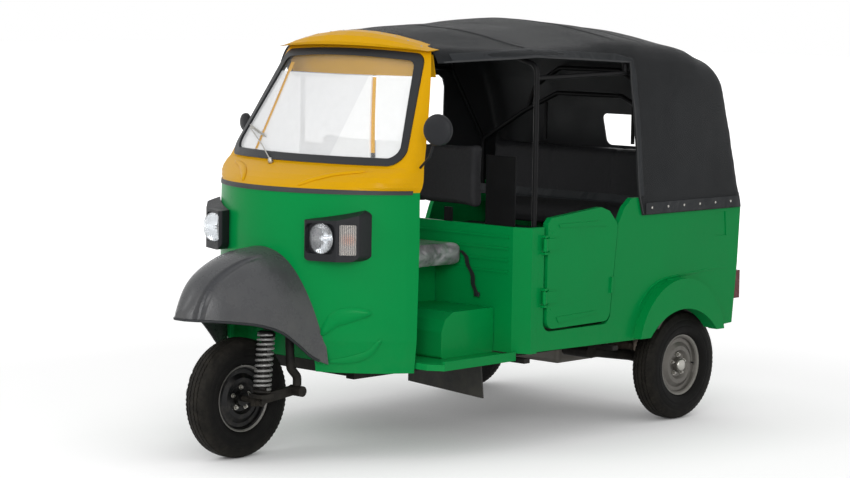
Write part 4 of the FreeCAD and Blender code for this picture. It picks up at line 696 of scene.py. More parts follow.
def make_looks():
    """Every material, by plain name."""
    look = finish()
    enamel = dict(Coat_Weight=0.05, Coat_Roughness=0.12, Specular_IOR_Level=0.05)
    flat = dict(Specular_IOR_Level=0.1)
    LOOKS.update(
        green=coated("green_enamel", look.green, 0.34, 0.05, 3.0, 300.0, 0.0002, 1.2, 0.10, 0.55, **enamel),
        yellow=coated("yellow_enamel", look.yellow, 0.34, 0.05, 3.0, 300.0, 0.0002, 1.2, **enamel),
        guard=guard_paint("guard_paint", look.guard),
        steel=coated("black_steel", tone(22, 22, 23), 0.45, 0.16, 8.0, 200.0, 0.0004, 1.0, 0.2, 0.6, **flat),
        satin=coated("grey_paint", tone(44, 45, 47), 0.5, 0.12, 6.0, 250.0, 0.0003, 0.8, 0.2, 0.7, **flat),
        plastic=coated("grained_plastic", tone(32, 33, 36), 0.42, 0.08, 9.0, 900.0, 0.0004, 0.1,
                       Specular_IOR_Level=0.2),
        seal=coated("seal_rubber", tone(34, 36, 39), 0.36, 0.08, 12.0, 600.0, 0.0003, 0.2,
                    Specular_IOR_Level=0.3),
        flap=coated("flap_rubber", tone(26, 26, 27), 0.6, 0.12, 9.0, 300.0, 0.0005, 0.6, 0.25, 0.5),
        engine=coated("cast_metal", tone(120, 118, 114), 0.55, 0.2, 12.0, 160.0, 0.0008, 1.0, 0.5, 0.8, Metallic=0.6),
        exhaust=coated("scorched_steel", tone(96, 84, 74), 0.5, 0.28, 14.0, 140.0, 0.0006, 1.0, 0.4, 0.6,
                       Metallic=0.7),
        spring=coated("spring_steel", tone(134, 134, 132), 0.34, 0.16, 16.0, 300.0, 0.0003, 0.6, 0.2, 0.6,
                      Metallic=0.4),
        red=coated("red_lens", tone(92, 8, 8), 0.14, 0.06, 6.0, 40.0, 0.0006, 3.0, Specular_IOR_Level=0.3),
        bulb=flasher_plate("flasher_plate"),
        chrome=metal("reflector_plating", tone(232, 234, 236), 0.1),
        dull=metal("plain_zinc", tone(176, 174, 168), 0.36),
        screen=screen_glass("screen_glass"),
        lens=lens_glass("lens_glass"),
        mirror=metal("mirror_silver", tone(214, 218, 222), 0.04),
        cloth=canvas("roof_canvas", look.canvas, 0.42),
        lining=canvas("roof_lining", look.lining, 0.8, 0.18),
        tape=coated("binding_tape", tone(34, 35, 37), 0.55, 0.1, 20.0, 800.0, 0.0005, 0.1),
        bench=vinyl("bench_vinyl", tone(40, 40, 42), 0.5),
        film=vinyl("filmed_vinyl", look.seat, 0.3, True),
        mat=ribbed_mat("floor_mat"),
        front_rim=rim_paint("front_rim_paint", FRONT_AXLE, tone(18, 18, 19), tone(120, 118, 114)),
        rear_rim=rim_paint("rear_rim_paint", REAR_AXLE, tone(100, 97, 92), tone(124, 122, 116)),
        front_tyre=tyre_rubber("front_tyre_rubber", FRONT_AXLE),
        rear_tyre=tyre_rubber("rear_tyre_rubber", REAR_AXLE),
        floor=floor_look("floor_look"),
    )


NODE_LOOKS = {
    "green": ("cab_lower", "wheel_housing", "driver_floor", "bulkhead", "side_panel_left", "side_panel_right",
              "rear_panel", "passenger_door", "engine_lid", "driver_seat_base"),
    "yellow": ("cab_upper", "roof_visor"),
    "guard": ("nose_guard",),
    "steel": ("partition_panels", "chassis_frame", "rear_suspension", "steering_fork", "handlebar", "front_link",
              "roof_frame"),
    "satin": ("passenger_seat_box",),
    "plastic": ("dash_shelf", "headlamp_housings", "mirrors"),
    "seal": ("windscreen_seal",),
    "flap": ("splash_flap", "handle_grips"),
    "mat": ("passenger_floor",),
    "engine": ("engine_block",),
    "exhaust": ("exhaust",),
    "red": ("tail_lamps",),
    "screen": ("windscreen_glass",),
    "front_rim": ("front_rim",),
    "rear_rim": ("rear_rim_left", "rear_rim_right"),
}


class Step(Operator):
    """Common ground of the operators."""
    bl_options = {"REGISTER", "UNDO"}


class TAXI_OT_materials(Step):
    """Builds the shared node groups and every material, and finishes the fixed panels with them"""
    bl_idname = "taxi.materials"
    bl_label = "Materials"

    def execute(self, context):
        for build in GROUPS:
            build()
        make_looks()
        for look, names in NODE_LOOKS.items():
            for name in names:
                slots = NODES[name].data.materials
                slots.clear()
                slots.append(LOOKS[look])
        return {"FINISHED"}


# Wheels
# Radii of the crown and of the tread's start, fall of the crown by width squared, and where a shoulder starts
TYRE_RADIUS = 0.245
TREAD_START = 0.2335
CROWN_FALL = 3.2
SHOULDER = 0.034
# Half of a tyre's outside from its bead, and of its inside: radius and distance from the middle
TYRE_WALL = [(0.1365, 0.036), (0.139, 0.0435), (0.147, 0.0515), (0.158, 0.0568), (0.172, 0.0588), (0.176, 0.0588),
             (0.178, 0.0578), (0.182, 0.0588), (0.200, 0.0585), (0.2035, 0.0568), (0.207, 0.0576), (0.2150, 0.0555),
             (0.2260, 0.0520), (TREAD_START, 0.0480), (0.2378, 0.0415), (0.2408, 0.0360)]
TYRE_INSIDE = [(0.141, 0.034), (0.160, 0.048), (0.200, 0.050), (0.228, 0.040), (0.233, 0.0)]
# Middles of the grooves, their half width and reach, the width of a rib, and the depths of a notch and of the zigzag
RIB_EDGES = (0.0285, 0.0105)
GROOVE_HALF, GROOVE_REACH = 0.0024, 0.003
RIB, NOTCH, ZIGZAG = 0.009, 0.0035, 0.0016


def tyre_profile(depth):
    """Half of a tyre's outside from bead to crown, with two grooves."""
    half = list(TYRE_WALL)
    for edge in RIB_EDGES:
        top = TYRE_RADIUS - edge ** 2 * CROWN_FALL
        half += [(top, edge + GROOVE_HALF), (top - depth, edge + GROOVE_HALF * 0.7),
                 (top - depth, edge - GROOVE_HALF * 0.7), (top, edge - GROOVE_HALF),
                 (TYRE_RADIUS - (edge - RIB) ** 2 * CROWN_FALL, edge - RIB)]
    return half


def build_tyre(name, look, body):
    """Ribbed road tyre with zigzag grooves and notched shoulders."""
    centre = sum(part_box(name), Vector()) / 2
    outside = tyre_profile(trim().groove_depth)
    profile = [(r, -t) for r, t in outside] + [(r, t) for r, t in reversed(outside[:-1])]
    profile += TYRE_INSIDE + [(r, -t) for r, t in reversed(TYRE_INSIDE[:-1])]
    bm = bmesh.new()
    blocks = trim().tread_blocks
    add_spun(bm, profile + [profile[0]], centre, X, blocks * 2)
    bmesh.ops.remove_doubles(bm, verts=bm.verts, dist=MERGE)
    for vert in bm.verts:
        away = vert.co - centre
        radius = math.hypot(away.y, away.z)
        if radius < TREAD_START:
            continue
        odd = round(math.atan2(away.z, away.y) / math.pi * blocks) % 2
        side = abs(away.x)
        if side > SHOULDER:
            if not odd:
                vert.co -= Vector((0, away.y, away.z)) / radius * NOTCH
        elif min(abs(side - edge) for edge in RIB_EDGES) < GROOVE_REACH:
            vert.co.x += ZIGZAG if odd else -ZIGZAG
    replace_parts(settle(name + "_ribbed", bm, look, body, 30), name)


def add_nuts(bm, centre, side, radius, count, size):
    """Ring of wheel nuts on their studs."""
    for index in range(count):
        angle = 2 * math.pi * index / count + 0.3
        at = centre + Vector((0, math.cos(angle), math.sin(angle))) * radius
        add_disc(bm, at, X * side, size * 1.3, size * 0.35, 20)
        add_disc(bm, at, X * side, size, size * 1.3, 6, size * 0.9)
        add_disc(bm, at, X * side, size * 0.5, size * 1.9, 12)


class TAXI_OT_tyres(Step):
    """Tyres with real tread, walls and beads"""
    bl_idname = "taxi.tyres"
    bl_label = "Tyres"

    def execute(self, context):
        build_tyre("front_tyre", "front_tyre", "front_wheel")
        for side in ("left", "right"):
            build_tyre("rear_tyre_" + side, "rear_tyre", "rear_wheel_" + side)
        return {"FINISHED"}


# Radius and distance from the wheel's middle
HUB_CAP = [(0.0285, 0.0400), (0.0285, 0.0420), (0.0265, 0.0480), (0.0200, 0.0530), (0.0, 0.0548), (0.0, 0.0390),
           (0.0285, 0.0400)]


class TAXI_OT_wheel_parts(Step):
    """Wheel nuts, hub caps and valves on the rims"""
    bl_idname = "taxi.wheel_parts"
    bl_label = "Wheel parts"

    def execute(self, context):
        disc_face = 0.022
        wheels = (("rear_left", REAR_AXLE, 1, "rear_wheel_left"),
                  ("rear_right", Vector((-REAR_AXLE.x, REAR_AXLE.y, REAR_AXLE.z)), -1, "rear_wheel_right"),
                  ("front", FRONT_AXLE, 1, "front_wheel"))
        for name, axle, side, body in wheels:
            bm = bmesh.new()
            add_nuts(bm, axle + X * side * disc_face, side, 0.0445, 5, 0.0078)
            settle(name + "_wheel_nuts", bm, "dull", body)
            bm = bmesh.new()
            valve = axle + Vector((side * disc_face, 0.100, 0.0))
            add_rod(bm, [valve + Vector((side * out, drop, 0))
                         for out, drop in ((0, 0), (0.012, -0.003), (0.022, -0.008))], 0.0032, True)
            settle(name + "_valve", bm, "plastic", body)
            if name != "front":
                bm = bmesh.new()
                add_spun(bm, HUB_CAP, axle, X * side, 32)
                settle(name + "_hub_cap", bm, "dull", body)
        return {"FINISHED"}


class TAXI_OT_front_spring(Step):
    """Coil spring wound round its damper, between two seats"""
    bl_idname = "taxi.front_spring"
    bl_label = "Front spring"

    def execute(self, context):
        low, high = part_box("front_spring")
        radius = (high.x - low.x) / 2
        foot = Vector(((low.x + high.x) / 2, low.y + radius, low.z))
        along = Vector((foot.x, high.y - radius, high.z)) - foot
        axis, length = along.normalized(), along.length
        side = axis.cross(X).normalized()
        wire, turns = trim().wire, trim().coil_turns
        start, end = 0.075, 0.945
        points = []
        for share in shares(int(turns * 20)):
            angle = 2 * math.pi * turns * share
            squeeze = share - 0.018 * math.sin(2 * math.pi * share)
            centre = foot + along * (start + (end - start) * squeeze)
            points.append(centre + (X * math.cos(angle) + side * math.sin(angle)) * (radius - wire))
        bm = bmesh.new()
        add_rod(bm, points, wire, round_sides=2)
        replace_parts(settle("front_coil", bm, "spring", "steering", 60), "front_spring")
        bm = bmesh.new()
        add_spun(bm, [(0.0, 0.001), (0.030, 0.001), (0.0365, 0.006), (0.0365, 0.013), (0.020, 0.018), (0.020, 0.125),
                      (0.0175, 0.13), (0.0075, 0.131), (0.0075, length - 0.06), (0.016, length - 0.055),
                      (0.026, length - 0.026), (0.0365, length - 0.02), (0.0365, length - 0.008),
                      (0.028, length - 0.001), (0.0, length - 0.001)], foot, axis, 32)
        settle("front_damper", bm, "steel", "steering")
        return {"FINISHED"}


# Soft roof
# Size of the sheet's faces, lift of what lies on the cloth, least distance of a side wall from the centre plane, then
# the bindings' radius, the facings' wall and the threads' radius
ROOF_GRAIN = 0.014
OFF_CLOTH, LAID = 0.0005, 0.0004
SIDE_WALL = 0.3
BINDING, FACING, THREAD = 0.0034, 0.0014, 0.0009
# Places of the bows along the vehicle
BOWS = [BULKHEAD + 0.076, REAR_AXLE.y - 0.505, REAR_AXLE.y - 0.060, REAR_AXLE.y + 0.118]
# Back of the roof from its hem to its crown: place from the rear face and height over the hem
ROOF_BACK = [(0.004, -0.060), (0.0, 0.0), (-0.058, 0.255), (-0.124, 0.475), (-0.176, 0.600), (-0.250, 0.695),
             (-0.370, 0.775), (-0.560, 0.845), (-0.700, 0.890)]
# Sections across the roof: place along the vehicle, half width, crown, how far in and down the shoulder starts, and
# how far down the wall starts
ROOF_SECTIONS = [
    (ROOF_FRONT - 0.080, 0.430, CROWN - 0.056, 0.145, 0.046, 0.128),
    (ROOF_FRONT, 0.458, CROWN - 0.052, 0.150, 0.046, 0.128),
    (ROOF_FRONT + 0.130, 0.566, CROWN - 0.044, 0.160, 0.062, 0.140),
    (BULKHEAD + 0.060, ROOF_HALF - 0.014, CROWN - 0.032, 0.145, 0.076, 0.140),
    (REAR_AXLE.y - 0.700, ROOF_HALF, CROWN - 0.008, 0.135, 0.070, 0.147),
    (REAR_AXLE.y - 0.520, ROOF_HALF, CROWN, 0.135, 0.068, 0.155),
    (REAR_AXLE.y - 0.260, ROOF_HALF, CROWN - 0.016, 0.145, 0.066, 0.150),
    (REAR_AXLE.y - 0.050, ROOF_HALF, CROWN - 0.042, 0.165, 0.072, 0.150),
    (REAR_AXLE.y + 0.120, ROOF_HALF - 0.008, CROWN - 0.074, 0.200, 0.092, 0.170),
    (REAR_AXLE.y + 0.250, ROOF_HALF - 0.022, CROWN - 0.110, 0.230, 0.120, 0.220),
    (REAR_AXLE.y + 0.400, ROOF_HALF - 0.042, CROWN - 0.160, 0.250, 0.150, 0.280),
]
# Outlines of the side openings: place along the vehicle and height
LEFT_OPENING = [(ROOF_FRONT - 0.2, 0.5), (ROOF_FRONT - 0.2, 1.600), (ROOF_FRONT + 0.02, 1.604),
                (BULKHEAD + 0.06, 1.630), (REAR_AXLE.y - 0.505, 1.604), (REAR_AXLE.y - 0.470, 1.400),
                (REAR_AXLE.y - 0.418, 1.023), (REAR_AXLE.y - 0.382, HEM - 0.03), (REAR_AXLE.y - 0.382, 0.5)]
RIGHT_OPENING = [(ROOF_FRONT - 0.2, 0.5), (ROOF_FRONT - 0.2, 1.580), (ROOF_FRONT + 0.02, 1.584),
                 (BULKHEAD - 0.1, 1.560), (BULKHEAD + 0.06, 1.505), (REAR_AXLE.y - 0.130, 1.500),
                 (REAR_AXLE.y - 0.100, 1.480), (REAR_AXLE.y - 0.090, 1.440), (REAR_AXLE.y - 0.095, 1.020),
                 (REAR_AXLE.y - 0.130, HEM - 0.03), (REAR_AXLE.y - 0.130, 0.5)]
OPENINGS = ((LEFT_OPENING, 1), (RIGHT_OPENING, -1))
WINDOW_LOW, WINDOW_HIGH, WINDOW_CORNER = Vector((-0.022, 0, 1.190)), Vector((0.430, 0, 1.338)), 0.030


def slack(y):
    """Share of the full sag at a place between two bows."""
    for low, high in zip(BOWS, BOWS[1:]):
        if low < y < high:
            return math.sin(math.pi * (y - low) / (high - low)) ** 2
    return 0.0


def section_points(row):
    """Points across one section, from the left foot over the crown to the right foot."""
    y, half, crown, edge_in, edge_drop, wall_drop = row
    inner = half - edge_in
    top = [(0.0, 0.0), (inner * 0.5, edge_drop * 0.27), (inner, edge_drop),
           (half - edge_in * 0.27, wall_drop - (wall_drop - edge_drop) * 0.68), (half, wall_drop)]
    right = [(across, crown - drop) for across, drop in smooth_values(top, 25)]
    knee = HEM + 0.052
    right += [(half + (ROOF_HALF - half) * share, crown - wall_drop + (knee - crown + wall_drop) * share)
              for share in shares(8)[1:]] + [(ROOF_HALF, HEM - 0.06)]
    return [Vector((x, y, z)) for x, z in reversed(right)] + [Vector((-x, y, z)) for x, z in right[1:]]


def extruded(outline, near, far):
    """Solid with an outline in the side view, between two places across the vehicle."""
    bm = bmesh.new()
    face = bm.faces.new([bm.verts.new((near, y, z)) for y, z in outline])
    bmesh.ops.extrude_face_region(bm, geom=[face])
    bm.verts.ensure_lookup_table()
    bmesh.ops.translate(bm, verts=bm.verts[len(outline):], vec=(far - near, 0, 0))
    return settle("cutter", bm, "tape", None)


def roof_envelope():
    """Filled solid whose outside is the stretched cloth."""
    bm = bmesh.new()
    grid = [[bm.verts.new(point) for point in section_points(row)] for row in smooth_values(ROOF_SECTIONS, 71)]
    for row, after in zip(grid, grid[1:]):
        for k in range(len(row)):
            follow = (k + 1) % len(row)
            bm.faces.new((row[k], row[follow], after[follow], after[k]))
    bm.faces.new(grid[0])
    bm.faces.new(grid[-1])
    envelope = settle("roof_sheet", bm, "cloth", None, 50)
    back = [(REAR_FACE + y, HEM + z) for y, z in smooth_values(ROOF_BACK, 41)]
    cut_piece(envelope, [extruded([(-2, HEM - 0.06)] + back + [(-2, back[-1][1])], -1, 1)], "INTERSECT")
    return evened(envelope, ROOF_GRAIN)


def held(value):
    """Value held between nought and one."""
    return min(1.0, max(0.0, value))


def roof_cloth():
    """Open sheet taken from the envelope, with sag, wrinkles and a map for its weave."""
    piece = roof_envelope()
    bm = bmesh.new()
    bm.from_mesh(piece.data)
    for _ in range(10):
        bmesh.ops.smooth_vert(bm, verts=bm.verts, factor=0.5, use_axis_x=True, use_axis_y=True, use_axis_z=True)
    for place, normal in ((Vector((0, 0, HEM)), -Z), (Vector((0, ROOF_FRONT, 0)), -Y)):
        bmesh.ops.bisect_plane(bm, geom=bm.verts[:] + bm.edges[:] + bm.faces[:], plane_co=place, plane_no=normal,
                               clear_outer=True)
    bm.normal_update()
    hem_fade, front_fade = 0.15, 0.10
    for vert in bm.verts:
        x, y, z = vert.co
        stir = noise.fractal(Vector((x * 2.4, y * 2.0, z * 4.0)), 0.9, 2.1, 3)
        tuck = noise.noise(Vector((x * 7, y * 11, z * 1.6)))
        near_edge = held((z - HEM) / hem_fade) * held((y - ROOF_FRONT) / front_fade)
        dent = cloth().sag * slack(y) * max(0.0, vert.normal.z) + cloth().wrinkle * (abs(stir) + 0.4 * tuck)
        vert.co -= vert.normal * dent * near_edge
    cut = bm.loops.layers.uv.new("cut")
    for face in bm.faces:
        a, b = (0, 1) if abs(face.normal.z) > 0.6 else (1, 2) if abs(face.normal.x) > abs(face.normal.y) else (0, 2)
        for loop in face.loops:
            loop[cut].uv = (loop.vert.co[a], loop.vert.co[b])
    bm.to_mesh(piece.data)
    bm.free()
    piece.data.materials.append(LOOKS["lining"])
    return piece


def window_cutter():
    """Solid that cuts the rear window."""
    bm = bmesh.new()
    add_block(bm, (WINDOW_LOW.x, REAR_AXLE.y, WINDOW_LOW.z), (WINDOW_HIGH.x, REAR_FACE + 0.3, WINDOW_HIGH.z))
    bevelled(bm, [e for e in bm.edges if abs((e.verts[0].co - e.verts[1].co).normalized().y) > 0.9], WINDOW_CORNER, 5)
    return settle("cutter", bm, "tape", None)


def largest_part(piece):
    """Keeps only the largest connected part of a mesh."""
    bm = bmesh.new()
    bm.from_mesh(piece.data)
    left = set(bm.verts)
    parts = []
    while left:
        heap = [left.pop()]
        part = set(heap)
        while heap:
            found = {vert for edge in heap.pop().link_edges for vert in edge.verts} & left
            left -= found
            part |= found
            heap += found
        parts.append(part)
    parts.sort(key=len)
    for part in parts[:-1]:
        bmesh.ops.delete(bm, geom=list(part), context="VERTS")
    bm.to_mesh(piece.data)
    bm.free()


class TAXI_OT_soft_roof(Step):
    """Canvas roof as one curved sheet over its bows, with side openings and a rear window"""
    bl_idname = "taxi.soft_roof"
    bl_label = "Soft roof"

    def execute(self, context):
        roof = roof_cloth()
        wall = roof.modifiers.new("wall", "SOLIDIFY")
        wall.thickness = cloth().canvas_wall
        wall.offset = -1
        wall.material_offset = 1
        cut_piece(roof, [extruded(outline, side * 0.02, side * 1.2) for outline, side in OPENINGS]
                  + [window_cutter(), settle("cutter", merged_copy("roof_visor"), "tape", None, normals=False)])
        largest_part(roof)
        roof.data.shade_smooth()
        roof.data.set_sharp_from_angle(angle=math.radians(48))
        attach(roof, "body")
        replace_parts(roof, "soft_roof")
        return {"FINISHED"}


def walked(outline):
    """Even stations along an opening's edge: place, height and the way out from the opening."""
    for (y0, z0), (y1, z1) in zip(outline[1:], outline[2:-1]):
        length = math.hypot(y1 - y0, z1 - z0)
        for share in shares(max(1, int(length / 0.03)))[:-1]:
            yield y0 + (y1 - y0) * share, z0 + (z1 - z0) * share, -(z1 - z0) / length, (y1 - y0) / length


def on_side(tree, side, y, z):
    """Point just off the side of the roof, or none where it is open."""
    place, normal, _, _ = tree.ray_cast(Vector((side * BESIDE, y, z)), -X * side)
    return place + normal * OFF_CLOTH if place and abs(place.x) > SIDE_WALL else None


def edge_route(outline, side, tree):
    """Line along the edge of a side opening, on the cloth."""
    points = [on_side(tree, side, y + (0.004 if z <= 1.45 else 0.0), z + (0.004 if z > 1.2 else 0.0))
              for y, z, _, _ in walked(outline) if y >= ROOF_FRONT + 0.02 and z >= HEM + 0.004]
    return [point for point in points if point]


def facing_rows(outline, side, tree):
    """Rows of points across the doubled edge of a side opening."""
    line = list(walked(outline))
    rows = []
    for k, (y, z, _, _) in enumerate(line):
        if y < ROOF_FRONT + 0.05 or z < HEM + 0.045:
            continue
        near = line[max(0, k - 2):k + 3]
        out_y, out_z = (sum(spot[index] for spot in near) / len(near) for index in (2, 3))
        row = [on_side(tree, side, y + out_y * off, z + out_z * off) for off in (0.005, 0.008, 0.033, 0.036)]
        if all(row):
            rows.append(row)
    return rows


def add_bindings(tree):
    """Bindings of the side openings and piping of the rear window."""
    bm = bmesh.new()
    for outline, side in OPENINGS:
        add_rod(bm, edge_route(outline, side, tree), BINDING, round_sides=1)
    margin = Vector((0.003, 0, 0.003))
    ring = [touch(tree, (x, BEHIND, z), -Y, OFF_CLOTH)[0]
            for x, z in rounded_loop((WINDOW_LOW - margin).xz, (WINDOW_HIGH + margin).xz, WINDOW_CORNER, 6, 0.03)]
    add_rod(bm, ring, BINDING, closed=True, round_sides=1)
    settle("roof_binding", bm, "tape", sharp=60)


def add_facings(tree):
    """Doubled edges of the side openings, with two rows of stitches."""
    facing, stitches = bmesh.new(), bmesh.new()
    for outline, side in OPENINGS:
        rows = facing_rows(outline, side, tree)
        add_ribbon(facing, rows, -FACING)
        for column in (1, 2):
            add_rod(stitches, [row[column] + X * side * FACING for row in rows], THREAD, round_sides=1)
    settle("roof_facing", facing, "cloth", sharp=40)
    settle("roof_stitches", stitches, "tape", sharp=60)


def add_hem(tree):
    """Doubled hem along both sides and the back."""
    bm = bmesh.new()
    wall = -0.0016
    heights = [HEM + 0.003, HEM + 0.02, HEM + trim().hem_band]
    for side, start in ((1, REAR_AXLE.y - 0.372), (-1, REAR_AXLE.y - 0.118)):
        run = REAR_FACE - 0.02 - start
        add_ribbon(bm, [[touch(tree, (side * BESIDE, start + run * share, z), -X * side, LAID)[0] for z in heights]
                        for share in shares(int(run / 0.02))], wall)
    half = ROOF_HALF - 0.02
    add_ribbon(bm, [[touch(tree, (-half + 2 * half * share, BEHIND, z), -Y, LAID)[0] for z in heights]
                    for share in shares(60)], wall)
    settle("roof_hem", bm, "cloth", sharp=40)


def add_seams(tree):
    """Seams across the roof, over its bows."""
    bm = bmesh.new()
    for y in (BOWS[0], BOWS[1] - 0.03, REAR_AXLE.y - 0.36):
        line = []
        for share in shares(60):
            angle = math.radians(-88 + 176 * share)
            way = Vector((math.sin(angle), 0, math.cos(angle)))
            place, normal, _, _ = tree.ray_cast(Vector((0, y, 1.3)) + way * 2, -way)
            if place and place.z > 1.6:
                line.append(place + normal * LAID)
        for aside in (-0.008, 0.008):
            add_rod(bm, [p + Y * aside for p in line], 0.0011, round_sides=1)
    settle("roof_seams", bm, "tape", sharp=60)


def add_studs(tree):
    """Snap studs along the hem."""
    bm = bmesh.new()
    size, pitch = trim().stud, trim().stud_pitch
    z = HEM + 0.03
    spots = [((side * BESIDE, start + k * pitch, z), -X * side)
             for side, start in ((1, REAR_AXLE.y - 0.33), (-1, REAR_AXLE.y - 0.08))
             for k in range(int((REAR_FACE - 0.05 - start) / pitch) + 1)]
    spots += [((k * pitch * 1.1, BEHIND, z), -Y) for k in range(-5, 6)]
    for origin, way in spots:
        place, normal = touch(tree, origin, way, 0.0018)
        add_disc(bm, place, normal, size, 0.0012, 14)
        add_dome(bm, place + normal * 0.001, normal, size * 0.7, 0.0022, 10)
    settle("hem_studs", bm, "dull")


class TAXI_OT_roof_trim(Step):
    """Bindings, doubled edges and hem, seams, snap studs and the window's piping on the soft roof"""
    bl_idname = "taxi.roof_trim"
    bl_label = "Roof trim"

    def execute(self, context):
        tree = skin_of(bpy.data.objects["roof_sheet"])
        for add_part in (add_bindings, add_facings, add_hem, add_seams, add_studs):
            add_part(tree)
        return {"FINISHED"}


# Cushions
SWELL_FRAMES = 14


def swollen(piece, low, high, pressure, cap):
    """Swells a closed piece with cloth simulation, held within its space."""
    rest = [v.co.copy() for v in piece.data.vertices]
    sim = piece.modifiers.new("swell", "CLOTH")
    options = sim.settings
    options.quality = 4
    options.mass = 0.4
    options.tension_stiffness = options.compression_stiffness = 12
    options.bending_stiffness = 0.6
    options.use_pressure = True
    options.uniform_pressure_force = pressure
    options.effector_weights.gravity = 0
    sim.collision_settings.use_collision = False
    scene = bpy.context.scene
    for number in range(1, SWELL_FRAMES + 1):
        scene.frame_set(number)
    applied(piece)
    scene.frame_set(1)
    for vert, start in zip(piece.data.vertices, rest):
        move = vert.co - start
        if move.length > cap:
            vert.co = start + move * (cap / move.length)
        for axis in range(3):
            vert.co[axis] = min(high[axis], max(low[axis], vert.co[axis]))


def pad(name, node_name, look, inset, voxel, channels=()):
    """Cushion in the space of a soft solid, with sewn channels across it."""
    channel_half, channel_depth, margin = 0.026, 0.009, Vector((0.001,) * 3)
    low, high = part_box(node_name)
    middle, size = (low + high) / 2, high - low
    bm = merged_copy(node_name)
    for vert in bm.verts:
        for k in range(3):
            vert.co[k] = middle[k] + (vert.co[k] - middle[k]) * (1 - 2 * inset / size[k])
    piece = evened(settle(name, bm, look, None, 80, normals=False), voxel)
    swollen(piece, low + margin, high - margin, cloth().pressure, cloth().swell)
    for vert in piece.data.vertices:
        for channel in channels:
            gap = abs(vert.co.x - channel)
            if gap < channel_half:
                depth = channel_depth * (1 - gap / channel_half) ** 2
                vert.co += (middle - vert.co).normalized() * depth
    piece.data.shade_smooth()
    extra = piece.modifiers.new("smooth", "SUBSURF")
    extra.levels = extra.render_levels = 1
    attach(piece, "body")
    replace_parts(piece, node_name)


class TAXI_OT_cushions(Step):
    """Driver's and passengers' cushions, swollen and sewn, with the bench's welts and the driver's strap"""
    bl_idname = "taxi.cushions"
    bl_label = "Cushions"

    def execute(self, context):
        pad("driver_seat_pad", "driver_cushion", "film", 0.006, 0.008)
        pad("driver_back_pad", "driver_backrest", "bench", 0.005, 0.010, (-0.16, 0.16))
        pad("bench_pad", "passenger_cushion", "bench", 0.006, 0.011, (-0.22, 0.22))
        pad("bench_back_pad", "passenger_backrest", "bench", 0.005, 0.011, (-0.19, 0.19))
        bm = bmesh.new()
        low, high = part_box("passenger_cushion")
        inset = 0.004
        loop = rounded_loop((low.x + inset, low.y + inset), (high.x - inset, high.y - inset), 0.03)
        for z in (low.z + 0.014, high.z - 0.016):
            add_rod(bm, [(x, y, z) for x, y in loop], 0.004, closed=True, round_sides=1)
        settle("seat_welts", bm, "tape", sharp=60)
        bm = bmesh.new()
        y = BULKHEAD - 0.014
        line = ((0.374, y - 0.012, 0.815), (0.394, y, 0.790), (0.404, y, 0.756),
                (0.432, y, 0.716), (0.436, y, 0.676), (0.456, y, 0.640))
        add_ribbon(bm, [[p - X * 0.011, p + X * 0.011] for p in smooth_line(line, 24)], 0.0022)
        end = Vector(line[-1])
        add_block(bm, end + Vector((-0.014, -0.004, -0.014)), end + Vector((0.014, 0.006, 0.004)), 0.0015)
        settle("seat_strap", bm, "tape", sharp=40)
        return {"FINISHED"}


# Cab
def cab_rays(z):
    """Rays that meet the cab's front from outside, all at one height."""
    centre, reach = Vector((0, BULKHEAD - 0.482, z)), 87.3
    for share in shares(60):
        angle = math.radians(-reach + 2 * reach * share)
        way = Vector((math.sin(angle), -math.cos(angle), 0))
        yield centre + way * 2, -way


class TAXI_OT_guard_bead(Step):
    """Rolled bead along the rim of the nose guard"""
    bl_idname = "taxi.guard_bead"
    bl_label = "Guard bead"

    def execute(self, context):
        # Left rim from its rear end to the tip: place behind the axle, half width and height
        rim = [(0.215, 0.310, 0.392), (0.150, 0.282, 0.425), (0.090, 0.262, 0.478), (0.020, 0.238, 0.532),
               (-0.060, 0.203, 0.562), (-0.140, 0.160, 0.575), (-0.203, 0.124, 0.582), (-0.250, 0.088, 0.586),
               (-0.285, 0.058, 0.588), (-0.312, 0.026, 0.590)]
        left = [(half, FRONT_AXLE.y + along, height) for along, half, height in smooth_values(rim, 46) if along < 0.19]
        bm = bmesh.new()
        add_rod(bm, left + [(-x, y, z) for x, y, z in reversed(left)], 0.0056, True, round_sides=2)
        settle("guard_bead", bm, "seal", sharp=60)
        return {"FINISHED"}


def add_leaf(bm, tree, spine, half, rise, way):
    """Low leaf-shaped swage on a skin, along a spine of points that are cast onto it."""
    rows = []
    stations = smooth_line(spine, 33)
    for k, spot in enumerate(stations):
        share = k / (len(stations) - 1)
        width = half * max(0.03, math.sin(math.pi * share)) ** 0.7
        run = (stations[min(k + 1, len(stations) - 1)] - stations[max(k - 1, 0)]).normalized()
        across = run.cross(way).normalized()
        row = []
        for j in range(-4, 5):
            lift = rise * (1 - (j / 4) ** 2) ** 0.8 * min(1.0, 4 * math.sin(math.pi * share)) - 0.0004
            row.append(touch(tree, spot - way * 2.0 + across * width * j / 4, way, lift)[0])
        rows.append(row)
    add_ribbon(bm, rows, -0.004)


